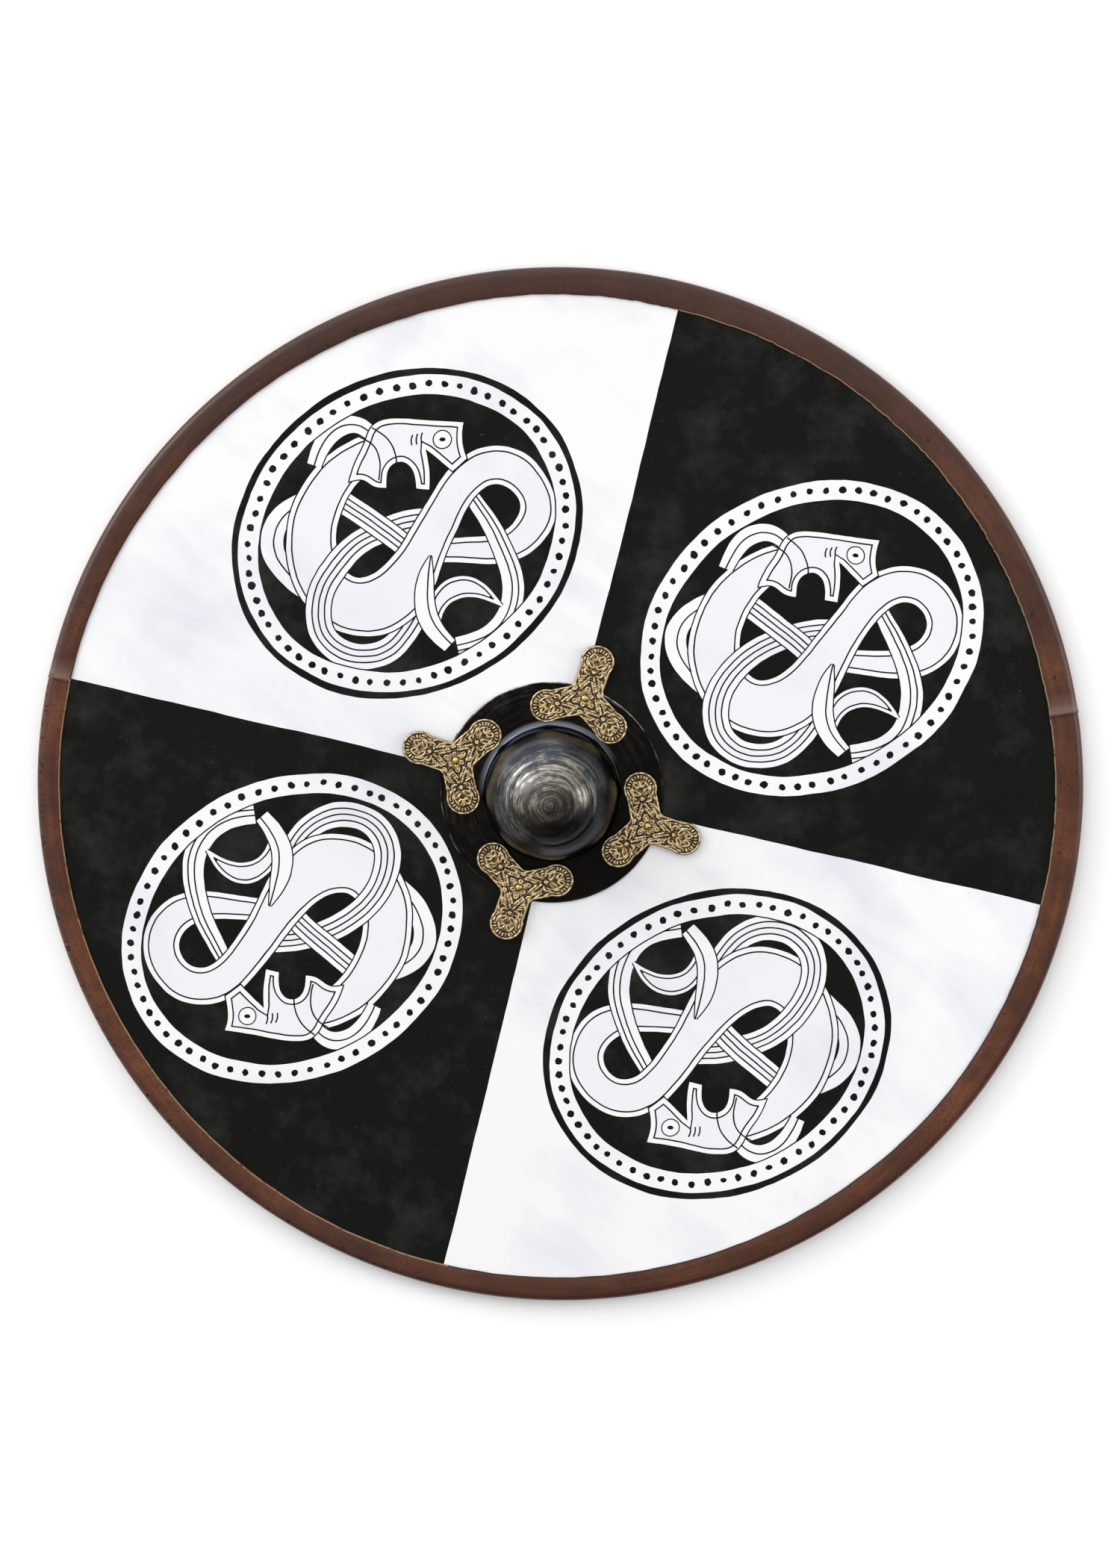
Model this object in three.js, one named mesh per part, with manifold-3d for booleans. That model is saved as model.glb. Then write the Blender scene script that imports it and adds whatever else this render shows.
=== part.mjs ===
// A round wooden shield with a steel boss, lying on its back with the boss up.
// One wooden board carries a leather band folded over its edge in two strips, a domed steel boss over a hand
// hole, and four three-armed brass mounts whose nails hold the boss down. Behind the boss a wooden grip
// crosses the hole. The grip's ends are let into the back of the board.
// Millimetres, +Z up through the boss, +Y towards the top of the painting. The origin is the middle of the
// leather band's back face.
import * as THREE from "three";
import { mergeVertices } from "three/addons/utils/BufferGeometryUtils.js";
import Module from "manifold-3d";

const wasm = await Module();
wasm.setup();

// Shield and board
const SHIELD_R = 450; // over the leather
const BOARD_T = 10;
const FIT = 0.3; // gap between pieces that touch
const OVERRUN = 1; // how far a cutting body runs past what it cuts
const ROUND_SIDES = 96;
const SMALL_ARC_STEPS = 2; // on folds, fillets and armpits
const ROUND_END_STEPS = 8; // on lobes and the grip's ends

// Leather band
const LEATHER_T = 2.4;
const BAND_FRONT = 22; // width on the painted face, from the outer edge
const BAND_BACK = 22;
const FOLD_R = 4; // round of the folded edge
const SEAM_DEG = [9, 168]; // where the two strips meet, left and right of the boss
const SEAM_GAP = 0.5;
const SEAM_ARC_STEPS = 24; // on the sector that cuts a strip out

// Boss
const BOSS_SHIFT = -6.5; // the boss sits this far beside the middle of the board
const STEEL_T = 1.8;
const FLANGE_MARGIN = 9; // flange outside the nail circle
const DOME_STEP = 0.2; // the dome stands this far outside the hand hole
const DOME_FILLET = 3.8;
const BOSS_H = 72; // from under the flange to the point
const DOME_POINT = 0.18; // 0 is a plain half ellipse, 1 a straight cone
const BOSS_SIDES = 48;
const DOME_STEPS = 8;
const HAND_HOLE_R = 57;
const HOLE_SIDES = 40;

// Brass mounts
const MOUNT_COUNT = 4;
const MOUNT_CLEARANCE = 0.75; // from a mount's lobes to the dome's fillet
const MOUNT_TURN_DEG = 71; // direction of the first mount
const ARM_COUNT = 3;
const ARM_WIDTH = 26;
const ARM_REACH = 47.5; // from the nail to the tip of an arm
const LOBE_SWELL = 1.3; // a lobe stands out this far past its arm's sides
const ARMPIT_R = 7;
const PLATE_T = 2;
const RELIEF = 1.2; // height of the raised strands
const STRAND_W = 2.2;
const FRAME_R = 17; // corners of the triangle around the nail
const PETAL_TURNS = [45, 135, 225, 315]; // of the knot in each lobe
const PETAL_PLACE = 0.42; // shares of the lobe's radius
const PETAL_LENGTH = 0.72;

// Nails of the mounts, with square roves behind
const NAIL_R = 1.5;
const NAIL_HEAD_R = 3;
const NAIL_HEAD_H = 1.8;
const NAIL_SIDES = 8;
const PEEN_R = 2.6;
const PEEN_T = 0.8;
const ROVE_W = 11;
const ROVE_T = 1;

// Grip
const GRIP_WIDTH = 28;
const GRIP_END_WIDTH = 34;
const GRIP_T = 12;
const GRIP_CHAMFER = 3;
const GRIP_LAP = 38; // length of each end on the board
const GRIP_LOW = 0.5; // underside above the ground
const GRIP_END_T = 7.4;
const GRIP_NAIL_R = 1.5;
const GRIP_NAIL_HEAD_R = 4;
const GRIP_NAIL_HEAD_T = 1.4;
const GRIP_NAIL_SKIN = 1.5; // wood left in front of a nail's point
const GRIP_NAIL_STEPS = [11, 27]; // from the edge of the hole

// Levels, from the ground up
const BOARD_BACK = LEATHER_T + FIT;
const BOARD_FRONT = BOARD_BACK + BOARD_T;
const SHIELD_T = BOARD_FRONT + FIT + LEATHER_T;
const FLANGE_BACK = BOARD_FRONT + FIT;
const FLANGE_FRONT = FLANGE_BACK + STEEL_T;
const MOUNT_BACK = FLANGE_FRONT + FIT;
const MOUNT_PLATE = MOUNT_BACK + PLATE_T;
const LAP_TOP = GRIP_LOW + GRIP_END_T;

const BOARD_R = SHIELD_R - LEATHER_T - FIT;
const GRIP_HALF_L = HAND_HOLE_R + GRIP_LAP;
const DOME_R = HAND_HOLE_R + DOME_STEP;
const LOBE_R = ARM_WIDTH / 2 + LOBE_SWELL;
const LOBE_OUT = ARM_REACH - LOBE_R; // from the nail to the middle of a lobe
const MOUNT_CIRCLE_R = nailCircle(); // around the boss
const FLANGE_R = MOUNT_CIRCLE_R + FLANGE_MARGIN;
const ARMS = Array.from({ length: ARM_COUNT }, (_, i) => (360 / ARM_COUNT) * i);
const degrees = THREE.MathUtils.degToRad;

const material = (color, roughness, metalness) =>
  new THREE.MeshStandardMaterial({ color, roughness, metalness });
const PAINTED_WOOD = material("#e6e6ea", 0.6, 0);
const LEATHER = material("#50392f", 0.5, 0);
const BLACK_STEEL = material("#23211f", 0.35, 0.9);
const BRASS = material("#9a8448", 0.4, 1);
const BARE_WOOD = material("#b58d5c", 0.7, 0);
const IRON = material("#3a3836", 0.55, 0.9);

// The nail circle on which the two inner lobes of every mount just clear the dome's fillet.
function nailCircle() {
  const lobeFromAxis = DOME_R + DOME_FILLET + MOUNT_CLEARANCE + LOBE_R;
  const swing = THREE.MathUtils.degToRad(360 / ARM_COUNT);
  const across = LOBE_OUT * Math.sin(swing);
  return Math.sqrt(lobeFromAxis ** 2 - across ** 2) - LOBE_OUT * Math.cos(swing);
}

// A point at a distance and an angle in degrees from the middle of a drawing.
function polar(radius, angle) {
  return new THREE.Vector2(radius * Math.cos(degrees(angle)), radius * Math.sin(degrees(angle)));
}

// Points of an arc around (x, y), both ends included.
function arc(x, y, radius, from, to, steps) {
  const points = [];
  for (let i = 0; i <= steps; i++) {
    points.push(polar(radius, from + ((to - from) * i) / steps).add(new THREE.Vector2(x, y)));
  }
  return points;
}

function circle(radius, sides, x = 0, y = 0) {
  return arc(x, y, radius, 0, 360, sides).slice(0, -1);
}

// An outline raised from one level to another.
function prism(outline, bottom, top, holes = []) {
  const shape = new THREE.Shape(outline);
  shape.holes = holes.map((hole) => new THREE.Path(hole));
  const options = { depth: top - bottom, bevelEnabled: false, steps: 1 };
  return solid(new THREE.ExtrudeGeometry(shape, options).translate(0, 0, bottom));
}

// A profile of [radius, height] points turned about Z, from the top of the outside down and back up inside.
function turned(profile, sides) {
  const points = profile.map(([r, z]) => new THREE.Vector2(r, z)).reverse();
  return solid(new THREE.LatheGeometry(points, sides).rotateX(Math.PI / 2));
}

function solid(geometry) {
  geometry.deleteAttribute("normal");
  geometry.deleteAttribute("uv");
  const merged = mergeVertices(geometry, 1e-4);
  const vertProperties = new Float32Array(merged.attributes.position.array);
  const triVerts = new Uint32Array(merged.index.array);
  return new wasm.Manifold(new wasm.Mesh({ numProp: 3, vertProperties, triVerts }));
}

function cut(body, cutters) {
  return cutters.reduce((left, cutter) => left.subtract(cutter), body);
}

function joined(parts) {
  return parts.reduce((whole, part) => whole.add(part));
}

function meshOf(name, body, look) {
  const { vertProperties, triVerts, numProp } = body.getMesh();
  const positions = new Float32Array((vertProperties.length / numProp) * 3);
  for (let v = 0; v < positions.length / 3; v++) {
    for (let k = 0; k < 3; k++) positions[3 * v + k] = vertProperties[v * numProp + k];
  }
  const geometry = new THREE.BufferGeometry();
  geometry.setAttribute("position", new THREE.BufferAttribute(positions, 3));
  geometry.setIndex(new THREE.BufferAttribute(new Uint32Array(triVerts), 1));
  geometry.computeVertexNormals();
  const mesh = new THREE.Mesh(geometry, look);
  mesh.name = name;
  return mesh;
}

// The direction of each mount seen from the boss.
function mountAngles() {
  return Array.from({ length: MOUNT_COUNT }, (_, i) => MOUNT_TURN_DEG + (360 / MOUNT_COUNT) * i);
}

// A round hole for every mount's nail, around the middle of the boss.
function nailHoles(bottom, top) {
  return mountAngles().map((angle) => {
    const at = polar(MOUNT_CIRCLE_R, angle);
    return prism(circle(NAIL_R + FIT, NAIL_SIDES, at.x, at.y), bottom, top);
  });
}

// The grip's outline seen from behind, with its two ends wider than its waist.
function gripOutline(grow) {
  const waist = GRIP_WIDTH / 2 + grow;
  const end = GRIP_END_WIDTH / 2 + grow;
  const reach = GRIP_HALF_L + grow - end;
  const neck = HAND_HOLE_R - GRIP_END_WIDTH / 2;
  const upper = [new THREE.Vector2(waist, neck / 2), new THREE.Vector2(end, HAND_HOLE_R)];
  upper.push(...arc(0, reach, end, 0, 180, ROUND_END_STEPS));
  upper.push(new THREE.Vector2(-end, HAND_HOLE_R), new THREE.Vector2(-waist, neck / 2));
  const lower = upper.map((p) => new THREE.Vector2(-p.x, -p.y));
  return [...upper, ...lower];
}

// Places of the grip's nails, as distances along it from the middle of the boss.
function gripNailPlaces() {
  return [-1, 1].flatMap((side) => GRIP_NAIL_STEPS.map((step) => side * (HAND_HOLE_R + step)));
}

function gripNailHoles(radius, bottom, top) {
  return gripNailPlaces().map((y) => prism(circle(radius, NAIL_SIDES, 0, y), bottom, top));
}

// The wooden disc, with the hand hole, the nail holes and the pockets for the grip's ends.
function makeBoard() {
  const below = BOARD_BACK - OVERRUN;
  const above = BOARD_FRONT + OVERRUN;
  const hole = prism(circle(HAND_HOLE_R, HOLE_SIDES), below, above);
  const pocket = prism(gripOutline(FIT), below, LAP_TOP + FIT);
  const gripNails = gripNailHoles(GRIP_NAIL_R + FIT, below, BOARD_FRONT - GRIP_NAIL_SKIN + FIT);
  const cutters = [hole, pocket, ...nailHoles(below, above), ...gripNails];
  const cutting = joined(cutters).translate([BOSS_SHIFT, 0, 0]);
  return cut(prism(circle(BOARD_R, ROUND_SIDES), BOARD_BACK, BOARD_FRONT), [cutting]);
}

// The whole leather band as one ring, folded over the edge of the board.
function bandRing() {
  const fold = SHIELD_R - FOLD_R;
  const front = SHIELD_R - BAND_FRONT;
  const back = SHIELD_R - BAND_BACK;
  const inside = SHIELD_R - LEATHER_T;
  const corner = (z, from, to) => arc(fold, z, FOLD_R, from, to, SMALL_ARC_STEPS).map((p) => [p.x, p.y]);
  const profile = [
    [front, SHIELD_T],
    ...corner(SHIELD_T - FOLD_R, 90, 0),
    ...corner(FOLD_R, 0, -90),
    [back, 0],
    [back, LEATHER_T],
    [inside, LEATHER_T],
    [inside, SHIELD_T - LEATHER_T],
    [front, SHIELD_T - LEATHER_T],
    [front, SHIELD_T],
  ];
  return turned(profile, ROUND_SIDES);
}

// One strip of the band, from one seam to the next.
function makeStrip(from, to) {
  const gap = THREE.MathUtils.radToDeg(SEAM_GAP / 2 / SHIELD_R);
  const far = SHIELD_R + BAND_FRONT;
  const sector = [new THREE.Vector2(0, 0), ...arc(0, 0, far, from + gap, to - gap, SEAM_ARC_STEPS)];
  return bandRing().intersect(prism(sector, -OVERRUN, SHIELD_T + OVERRUN));
}

// The dome's outside or inside as [radius, height] points, from the point at the top to the fillet.
function domeCurve(radius, foot, rise, steps) {
  const curve = [];
  for (let i = 0; i <= steps; i++) {
    const turn = (Math.PI / 2) * (i / steps);
    const round = (1 - DOME_POINT) * Math.cos(turn) + DOME_POINT * (1 - Math.sin(turn));
    curve.push([i === 0 ? 0 : radius * Math.sin(turn), foot + rise * round]);
  }
  return curve;
}

function filletCurve(foot, radius) {
  return arc(DOME_R + DOME_FILLET, foot, radius, 180, 270, SMALL_ARC_STEPS).map((p) => [p.x, p.y]);
}

// The steel boss: a pointed dome on a flat flange, open behind.
function makeBoss() {
  const foot = FLANGE_FRONT + DOME_FILLET;
  const rise = FLANGE_BACK + BOSS_H - foot;
  const outside = domeCurve(DOME_R, foot, rise, DOME_STEPS);
  const inside = domeCurve(DOME_R - STEEL_T, foot, rise - STEEL_T, DOME_STEPS);
  const profile = [
    ...outside,
    ...filletCurve(foot, DOME_FILLET).slice(1),
    [FLANGE_R, FLANGE_FRONT],
    [FLANGE_R, FLANGE_BACK],
    ...filletCurve(foot, DOME_FILLET + STEEL_T).reverse(),
    ...inside.reverse().slice(1),
  ];
  const shell = turned(profile, BOSS_SIDES);
  return cut(shell, nailHoles(FLANGE_BACK - OVERRUN, FLANGE_FRONT + OVERRUN));
}

// The outline of a mount: three round-headed arms with rounded armpits between them.
function trefoil(inset) {
  const half = ARM_WIDTH / 2 - inset;
  const lobe = LOBE_R - inset;
  const armpit = ARMPIT_R + inset;
  const between = 180 / ARM_COUNT;
  const away = (half + armpit) / Math.sin(degrees(between));
  const swing = 180 - THREE.MathUtils.radToDeg(Math.asin(half / lobe));
  const points = [];
  for (const arm of ARMS) {
    const pit = polar(away, arm - between);
    const head = polar(LOBE_OUT, arm);
    points.push(...arc(pit.x, pit.y, armpit, arm + 90 + between, arm + 90, SMALL_ARC_STEPS));
    points.push(...arc(head.x, head.y, lobe, arm - swing, arm + swing, ROUND_END_STEPS));
  }
  return points;
}

// A long hexagon laid along a direction, the form of every petal and straight strand.
function lozenge(x, y, length, width, angle) {
  const shape = [
    [length / 2, 0],
    [length / 5, width / 2],
    [-length / 5, width / 2],
    [-length / 2, 0],
    [-length / 5, -width / 2],
    [length / 5, -width / 2],
  ];
  const turn = degrees(angle);
  const middle = new THREE.Vector2(x, y);
  const origin = new THREE.Vector2();
  return shape.map(([u, v]) => new THREE.Vector2(u, v).rotateAround(origin, turn).add(middle));
}

// The raised work of a mount: a border, a triangle and flower around the nail, and a knot in each lobe.
function mountRelief() {
  const foot = MOUNT_PLATE - RELIEF / 2;
  const top = MOUNT_PLATE + RELIEF;
  const raise = (outline, holes) => prism(outline, foot, top, holes);
  const work = [raise(trefoil(0), [trefoil(STRAND_W)])];
  const corners = (r) => ARMS.map((angle) => polar(r, angle));
  work.push(raise(corners(FRAME_R), [corners(FRAME_R - 2 * STRAND_W)]));
  for (const arm of ARMS) {
    const head = polar(LOBE_OUT, arm);
    for (const turn of PETAL_TURNS) {
      const at = polar(LOBE_R * PETAL_PLACE, arm + turn).add(head);
      work.push(raise(lozenge(at.x, at.y, LOBE_R * PETAL_LENGTH, STRAND_W, arm + turn)));
    }
  }
  return work;
}

// A brass mount with its nail hole, lying with its first arm along +X.
function makeMount() {
  const plate = prism(trefoil(0), MOUNT_BACK, MOUNT_PLATE);
  const top = MOUNT_PLATE + RELIEF + OVERRUN;
  const nailHole = prism(circle(NAIL_R + FIT, NAIL_SIDES), MOUNT_BACK - OVERRUN, top);
  return cut(joined([plate, ...mountRelief()]), [nailHole]);
}

// A mount's nail: a domed head in front, a shank through the board and a peened end behind the rove.
function makeMountNail() {
  const headFoot = MOUNT_PLATE + FIT;
  const headTop = headFoot + NAIL_HEAD_H;
  const peenTop = BOARD_BACK - FIT - ROVE_T - FIT;
  const profile = [
    [0, headTop],
    [NAIL_HEAD_R * 0.55, headTop - NAIL_HEAD_H * 0.18],
    [NAIL_HEAD_R * 0.9, headTop - NAIL_HEAD_H * 0.6],
    [NAIL_HEAD_R, headFoot],
    [NAIL_R, headFoot],
    [NAIL_R, peenTop],
    [PEEN_R, peenTop],
    [PEEN_R * 0.8, peenTop - PEEN_T],
    [0, peenTop - PEEN_T],
  ];
  return turned(profile, NAIL_SIDES);
}

// A square iron plate behind the board that a nail is peened over.
function makeRove() {
  const half = ROVE_W / 2;
  const square = [
    [half, half],
    [-half, half],
    [-half, -half],
    [half, -half],
  ].map(([x, y]) => new THREE.Vector2(x, y));
  const top = BOARD_BACK - FIT;
  return prism(square, top - ROVE_T, top, [circle(NAIL_R + FIT, NAIL_SIDES)]);
}

// The wooden bar across the hand hole, chamfered along its length, with thinner ends for the board's pockets.
function makeGrip() {
  const top = GRIP_LOW + GRIP_T;
  const room = HAND_HOLE_R - GRIP_END_WIDTH / 2;
  const plan = prism(gripOutline(0), GRIP_LOW, top);
  const side = [
    [-GRIP_HALF_L, GRIP_LOW],
    [GRIP_HALF_L, GRIP_LOW],
    [GRIP_HALF_L, LAP_TOP],
    [HAND_HOLE_R - GRIP_CHAMFER, LAP_TOP],
    [room, top],
    [-room, top],
    [-HAND_HOLE_R + GRIP_CHAMFER, LAP_TOP],
    [-GRIP_HALF_L, LAP_TOP],
  ].map(([y, z]) => new THREE.Vector2(y, z));
  const across = GRIP_END_WIDTH;
  const standing = prism(side, -across, across).rotate([90, 0, 90]);
  const chamfers = [-1, 1].flatMap((x) => [GRIP_LOW, top].map((z) => chamferBar(x, z)));
  const below = GRIP_LOW - OVERRUN;
  const heads = gripNailHoles(GRIP_NAIL_HEAD_R + FIT, below, GRIP_LOW + FIT + GRIP_NAIL_HEAD_T + FIT);
  const shanks = gripNailHoles(GRIP_NAIL_R + FIT, below, top + OVERRUN);
  return cut(plan.intersect(standing), [...chamfers, ...heads, ...shanks]);
}

// A square bar on edge that takes the sharp corner off the grip's waist, on the x side and at height z.
function chamferBar(side, z) {
  const x = (side * GRIP_WIDTH) / 2;
  const r = GRIP_CHAMFER;
  const edge = circle(r, 4, x, z);
  const long = HAND_HOLE_R - GRIP_END_WIDTH / 2;
  return prism(edge, -long, long).rotate([90, 0, 0]);
}

// A flat-headed nail that holds the grip, driven from behind and stopping short of the board's front.
function makeGripNail() {
  const head = GRIP_LOW + FIT;
  const point = BOARD_FRONT - GRIP_NAIL_SKIN;
  const profile = [
    [0, point],
    [GRIP_NAIL_R, point - GRIP_NAIL_R * 2],
    [GRIP_NAIL_R, head + GRIP_NAIL_HEAD_T],
    [GRIP_NAIL_HEAD_R, head + GRIP_NAIL_HEAD_T * 0.6],
    [GRIP_NAIL_HEAD_R, head],
    [0, head],
  ];
  return turned(profile, NAIL_SIDES);
}

const shield = new THREE.Group();
shield.add(meshOf("board", makeBoard(), PAINTED_WOOD));
shield.add(meshOf("rim_strip_upper", makeStrip(SEAM_DEG[0], SEAM_DEG[1]), LEATHER));
shield.add(meshOf("rim_strip_lower", makeStrip(SEAM_DEG[1], SEAM_DEG[0] + 360), LEATHER));

const bossGroup = new THREE.Group();
bossGroup.position.x = BOSS_SHIFT;
shield.add(bossGroup);
bossGroup.add(meshOf("boss", makeBoss(), BLACK_STEEL));
bossGroup.add(meshOf("grip", makeGrip(), BARE_WOOD));

mountAngles().forEach((angle, i) => {
  const place = new THREE.Group();
  const at = polar(MOUNT_CIRCLE_R, angle);
  place.position.set(at.x, at.y, 0);
  place.rotation.z = degrees(angle);
  place.add(meshOf(`mount_${i + 1}`, makeMount(), BRASS));
  place.add(meshOf(`mount_nail_${i + 1}`, makeMountNail(), BRASS));
  place.add(meshOf(`rove_${i + 1}`, makeRove(), IRON));
  bossGroup.add(place);
});

gripNailPlaces().forEach((y, i) => {
  const nail = meshOf(`grip_nail_${i + 1}`, makeGripNail(), IRON);
  nail.position.y = y;
  bossGroup.add(nail);
});

export default shield;
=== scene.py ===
"""The looks of a painted round shield that lies on its back: every visible piece, the stage and the camera.

Lengths are metres. The face is painted on paper in millimetres first, seen from the front, with +Y up.
"""

import math
import random

import bpy
import numpy as np
from bpy.props import FloatProperty, FloatVectorProperty, IntProperty, PointerProperty
from mathutils import Matrix, Vector, noise
from mathutils.geometry import delaunay_2d_cdt


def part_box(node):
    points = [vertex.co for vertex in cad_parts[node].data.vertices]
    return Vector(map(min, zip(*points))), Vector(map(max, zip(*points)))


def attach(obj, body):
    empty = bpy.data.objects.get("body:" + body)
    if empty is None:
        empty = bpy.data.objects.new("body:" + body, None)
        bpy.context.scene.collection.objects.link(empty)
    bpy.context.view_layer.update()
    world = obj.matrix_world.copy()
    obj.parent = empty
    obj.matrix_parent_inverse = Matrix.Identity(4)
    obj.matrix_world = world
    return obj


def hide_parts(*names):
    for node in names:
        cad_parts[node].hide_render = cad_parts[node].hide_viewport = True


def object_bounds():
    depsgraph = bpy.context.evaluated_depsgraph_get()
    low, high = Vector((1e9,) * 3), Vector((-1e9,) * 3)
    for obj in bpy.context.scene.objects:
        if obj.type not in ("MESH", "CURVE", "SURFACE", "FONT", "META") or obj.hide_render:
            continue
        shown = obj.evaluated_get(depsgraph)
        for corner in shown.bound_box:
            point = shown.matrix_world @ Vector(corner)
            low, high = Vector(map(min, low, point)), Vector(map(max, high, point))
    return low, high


bl_info = {
    "name": "Painted Round Shield",
    "version": (1, 0, 0),
    "blender": (4, 5, 0),
    "location": "View3D > Sidebar > Shield",
    "description": "Builds a round wooden shield with a painted face, a steel boss and brass mounts",
    "category": "Object",
}

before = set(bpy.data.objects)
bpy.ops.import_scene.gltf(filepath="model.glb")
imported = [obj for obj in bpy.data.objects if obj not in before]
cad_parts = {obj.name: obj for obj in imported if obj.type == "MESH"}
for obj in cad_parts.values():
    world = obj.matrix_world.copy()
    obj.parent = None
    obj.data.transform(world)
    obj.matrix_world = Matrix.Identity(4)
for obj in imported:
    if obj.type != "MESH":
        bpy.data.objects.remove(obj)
CAD_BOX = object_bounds()

MM = 0.001
ROOT = "root"
SHIELD_R = (CAD_BOX[1][0] - CAD_BOX[0][0]) / 2
BOARD_LOW, BOARD_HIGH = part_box("board")
BOARD_R = (BOARD_HIGH[0] - BOARD_LOW[0]) / 2
RIM_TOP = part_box("rim_strip_lower")[1][2]
BOSS_LOW, BOSS_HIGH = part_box("boss")
BOSS_X = (BOSS_LOW[0] + BOSS_HIGH[0]) / 2
FLANGE_R = (BOSS_HIGH[0] - BOSS_LOW[0]) / 2
GRIP_LOW, GRIP_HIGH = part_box("grip")
MOUNT_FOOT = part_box("mount_1")[0][2]
MOUNTS = [f"mount_{i}" for i in range(1, 5)]
MOUNT_NAILS = [f"mount_nail_{i}" for i in range(1, 5)]
ROVES = [f"rove_{i}" for i in range(1, 5)]
GRIP_NAILS = [f"grip_nail_{i}" for i in range(1, 5)]

SEAMS = (9.0, 167.3)  # where the strips meet, degrees
BRUSHED = (0, 0, math.radians(-40))  # the brush's strokes run from the upper left to the lower right

# Sockets and settings of the Mix node when it mixes colours
FACTOR, FIRST, SECOND = 0, 6, 7
COLOURS = {"out": 2, "data_type": "RGBA"}


def srgb(code):
    """An sRGB hex colour as linear red, green, blue and alpha."""
    parts = [int(code[i : i + 2], 16) / 255 for i in (1, 3, 5)]
    return (*[p / 12.92 if p <= 0.04045 else ((p + 0.055) / 1.055) ** 2.4 for p in parts], 1.0)


def colour(name, description, code):
    return FloatVectorProperty(
        name=name, description=description, subtype="COLOR", size=4, min=0, max=1, default=srgb(code)
    )


def length(name, description, millimetres):
    return FloatProperty(name=name, description=description, unit="LENGTH", default=millimetres * MM)


def turn(name, description, degrees):
    return FloatProperty(name=name, description=description, unit="ROTATION", default=math.radians(degrees))


class ShieldPaint(bpy.types.PropertyGroup):
    """Sizes and colours of the painted face"""

    cross_turn: turn("Cross turn", "Direction of the painted cross's first arm, right of the boss", -13.1)
    band_width: length("Band width", "White band around a medallion", 17)
    ring_width: length("Ring width", "Black ring around the medallions on white", 5.8)
    dot_pitch: length("Dot pitch", "From one dot of a band to the next", 13.1)
    dot_radius: length("Dot radius", "Middle size of the dots", 3.05)
    line_width: length("Line width", "Thin lines in the beasts", 1.35)
    line_inset: length("Line inset", "From a beast's edge to the line inside it", 3.9)
    hand_wobble: length("Hand wobble", "How far a painted edge strays", 1.1)
    white: colour("White", "Ground and edges", "#ececed")
    cloud: colour("Cloud", "Thin places in the white", "#dadbe2")
    tint: colour("Tint", "Inside of the beasts", "#e5e5ea")
    black: colour("Black", "Ground and lines", "#090907")
    scuff: colour("Scuff", "Rubbed places in the black", "#30312f")


class ShieldLeather(bpy.types.PropertyGroup):
    """Sizes and colours of the leather band"""

    front_width: length("Front width", "Middle width of the band on the painted face", 22.3)
    front_swell: length("Front swell", "How much wider the band is on its wide side", 2.3)
    wide_side: turn("Wide side", "Direction in which the band is widest", 15)
    thickness: length("Thickness", "Leather thickness", 2.4)
    fold_radius: length("Fold radius", "Round of the folded edge", 6)
    lap_lift: length("Lap lift", "How far the upper strip's ends stand up over the lower strip", 0.9)
    light: colour("Light", "Thin places in the stain", "#6f4026")
    brown: colour("Brown", "Smooth side of the leather", "#572d18")
    # this dark colour also paints the shade on the band's lower side
    dark: colour("Dark", "Stained places", "#3a1c0f")
    raw: colour("Raw", "Cut edge of the leather", "#8c6f50")


class ShieldBoss(bpy.types.PropertyGroup):
    """Sizes and colours of the steel boss"""

    steel: length("Steel", "Wall thickness", 1.8)
    fillet: length("Fillet", "Round between dome and flange", 3.8)
    dome_radius: length("Dome radius", "Foot of the dome", 57.2)
    point: FloatProperty(name="Point", description="0 is a half ellipse and 1 a cone", default=0.14)
    sides: IntProperty(name="Sides", description="Steps of the spin", default=144)
    black: colour("Black", "Blackened flange", "#0c0b09")
    blue: colour("Blue", "Blued dome", "#35383e")
    # this colour paints highlights: on the upper side of the hollow round the dome's foot and on the dome's
    # upper left
    foot: colour("Foot", "Upper side of the hollow round the dome's foot", "#646a73")
    cap: colour("Cap", "Middle of the dome, rubbed and oiled", "#3d3a35")
    worn: colour("Worn", "Steel rubbed bare", "#b0a99c")
    low: colour("Low", "Black low on the dome", "#12110f")


class ShieldMounts(bpy.types.PropertyGroup):
    """Sizes and colours of the brass mounts"""

    arm_width: length("Arm width", "Width of an arm beside the nail", 26)
    arm_reach: length("Arm reach", "From the nail to the tip of an arm", 47.5)
    lobe_radius: length("Lobe radius", "Round end of an arm", 14.3)
    armpit_radius: length("Armpit radius", "Round between two arms", 7)
    plate: length("Plate", "Thickness under the strands", 2)
    strand: length("Strand", "Radius of a cast strand", 1.2)
    voxel: length("Voxel", "Fineness of the cast surface", 0.3)
    bright: colour("Bright", "Rubbed tops of the strands", "#dfcba4")
    middle: colour("Middle", "Sides of the strands", "#6d5024")
    dark: colour("Dark", "Dirt in the hollows", "#1a1107")


class ShieldWood(bpy.types.PropertyGroup):
    """Sizes and colours of the bare wood"""

    plank: length("Plank", "Width of a plank on the back", 112)
    edge_round: length("Edge round", "Softened edges of the grip", 1.6)
    early: colour("Early wood", "Pale bands of the grain", "#c9a676")
    late: colour("Late wood", "Dark bands of the grain", "#a37a4a")


class ShieldStage(bpy.types.PropertyGroup):
    """Camera, floor and light"""

    distance: FloatProperty(name="Distance", description="Camera to shield", unit="LENGTH", default=4.4)
    tilt: turn("Tilt", "Camera's lean from straight above, towards the top of the painting", 9)
    side: turn("Side", "Camera's lean towards the right of the painting", 1)
    focal: FloatProperty(name="Focal length", description="Millimetres on a 36 mm sensor", default=164.55)
    aim_x: length("Aim X", "Point of the shield in the middle of the picture", 0.5)
    aim_y: length("Aim Y", "Point of the shield in the middle of the picture", 7.4)
    floor: colour("Floor", "Pale floor", "#ffffff")


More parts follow.
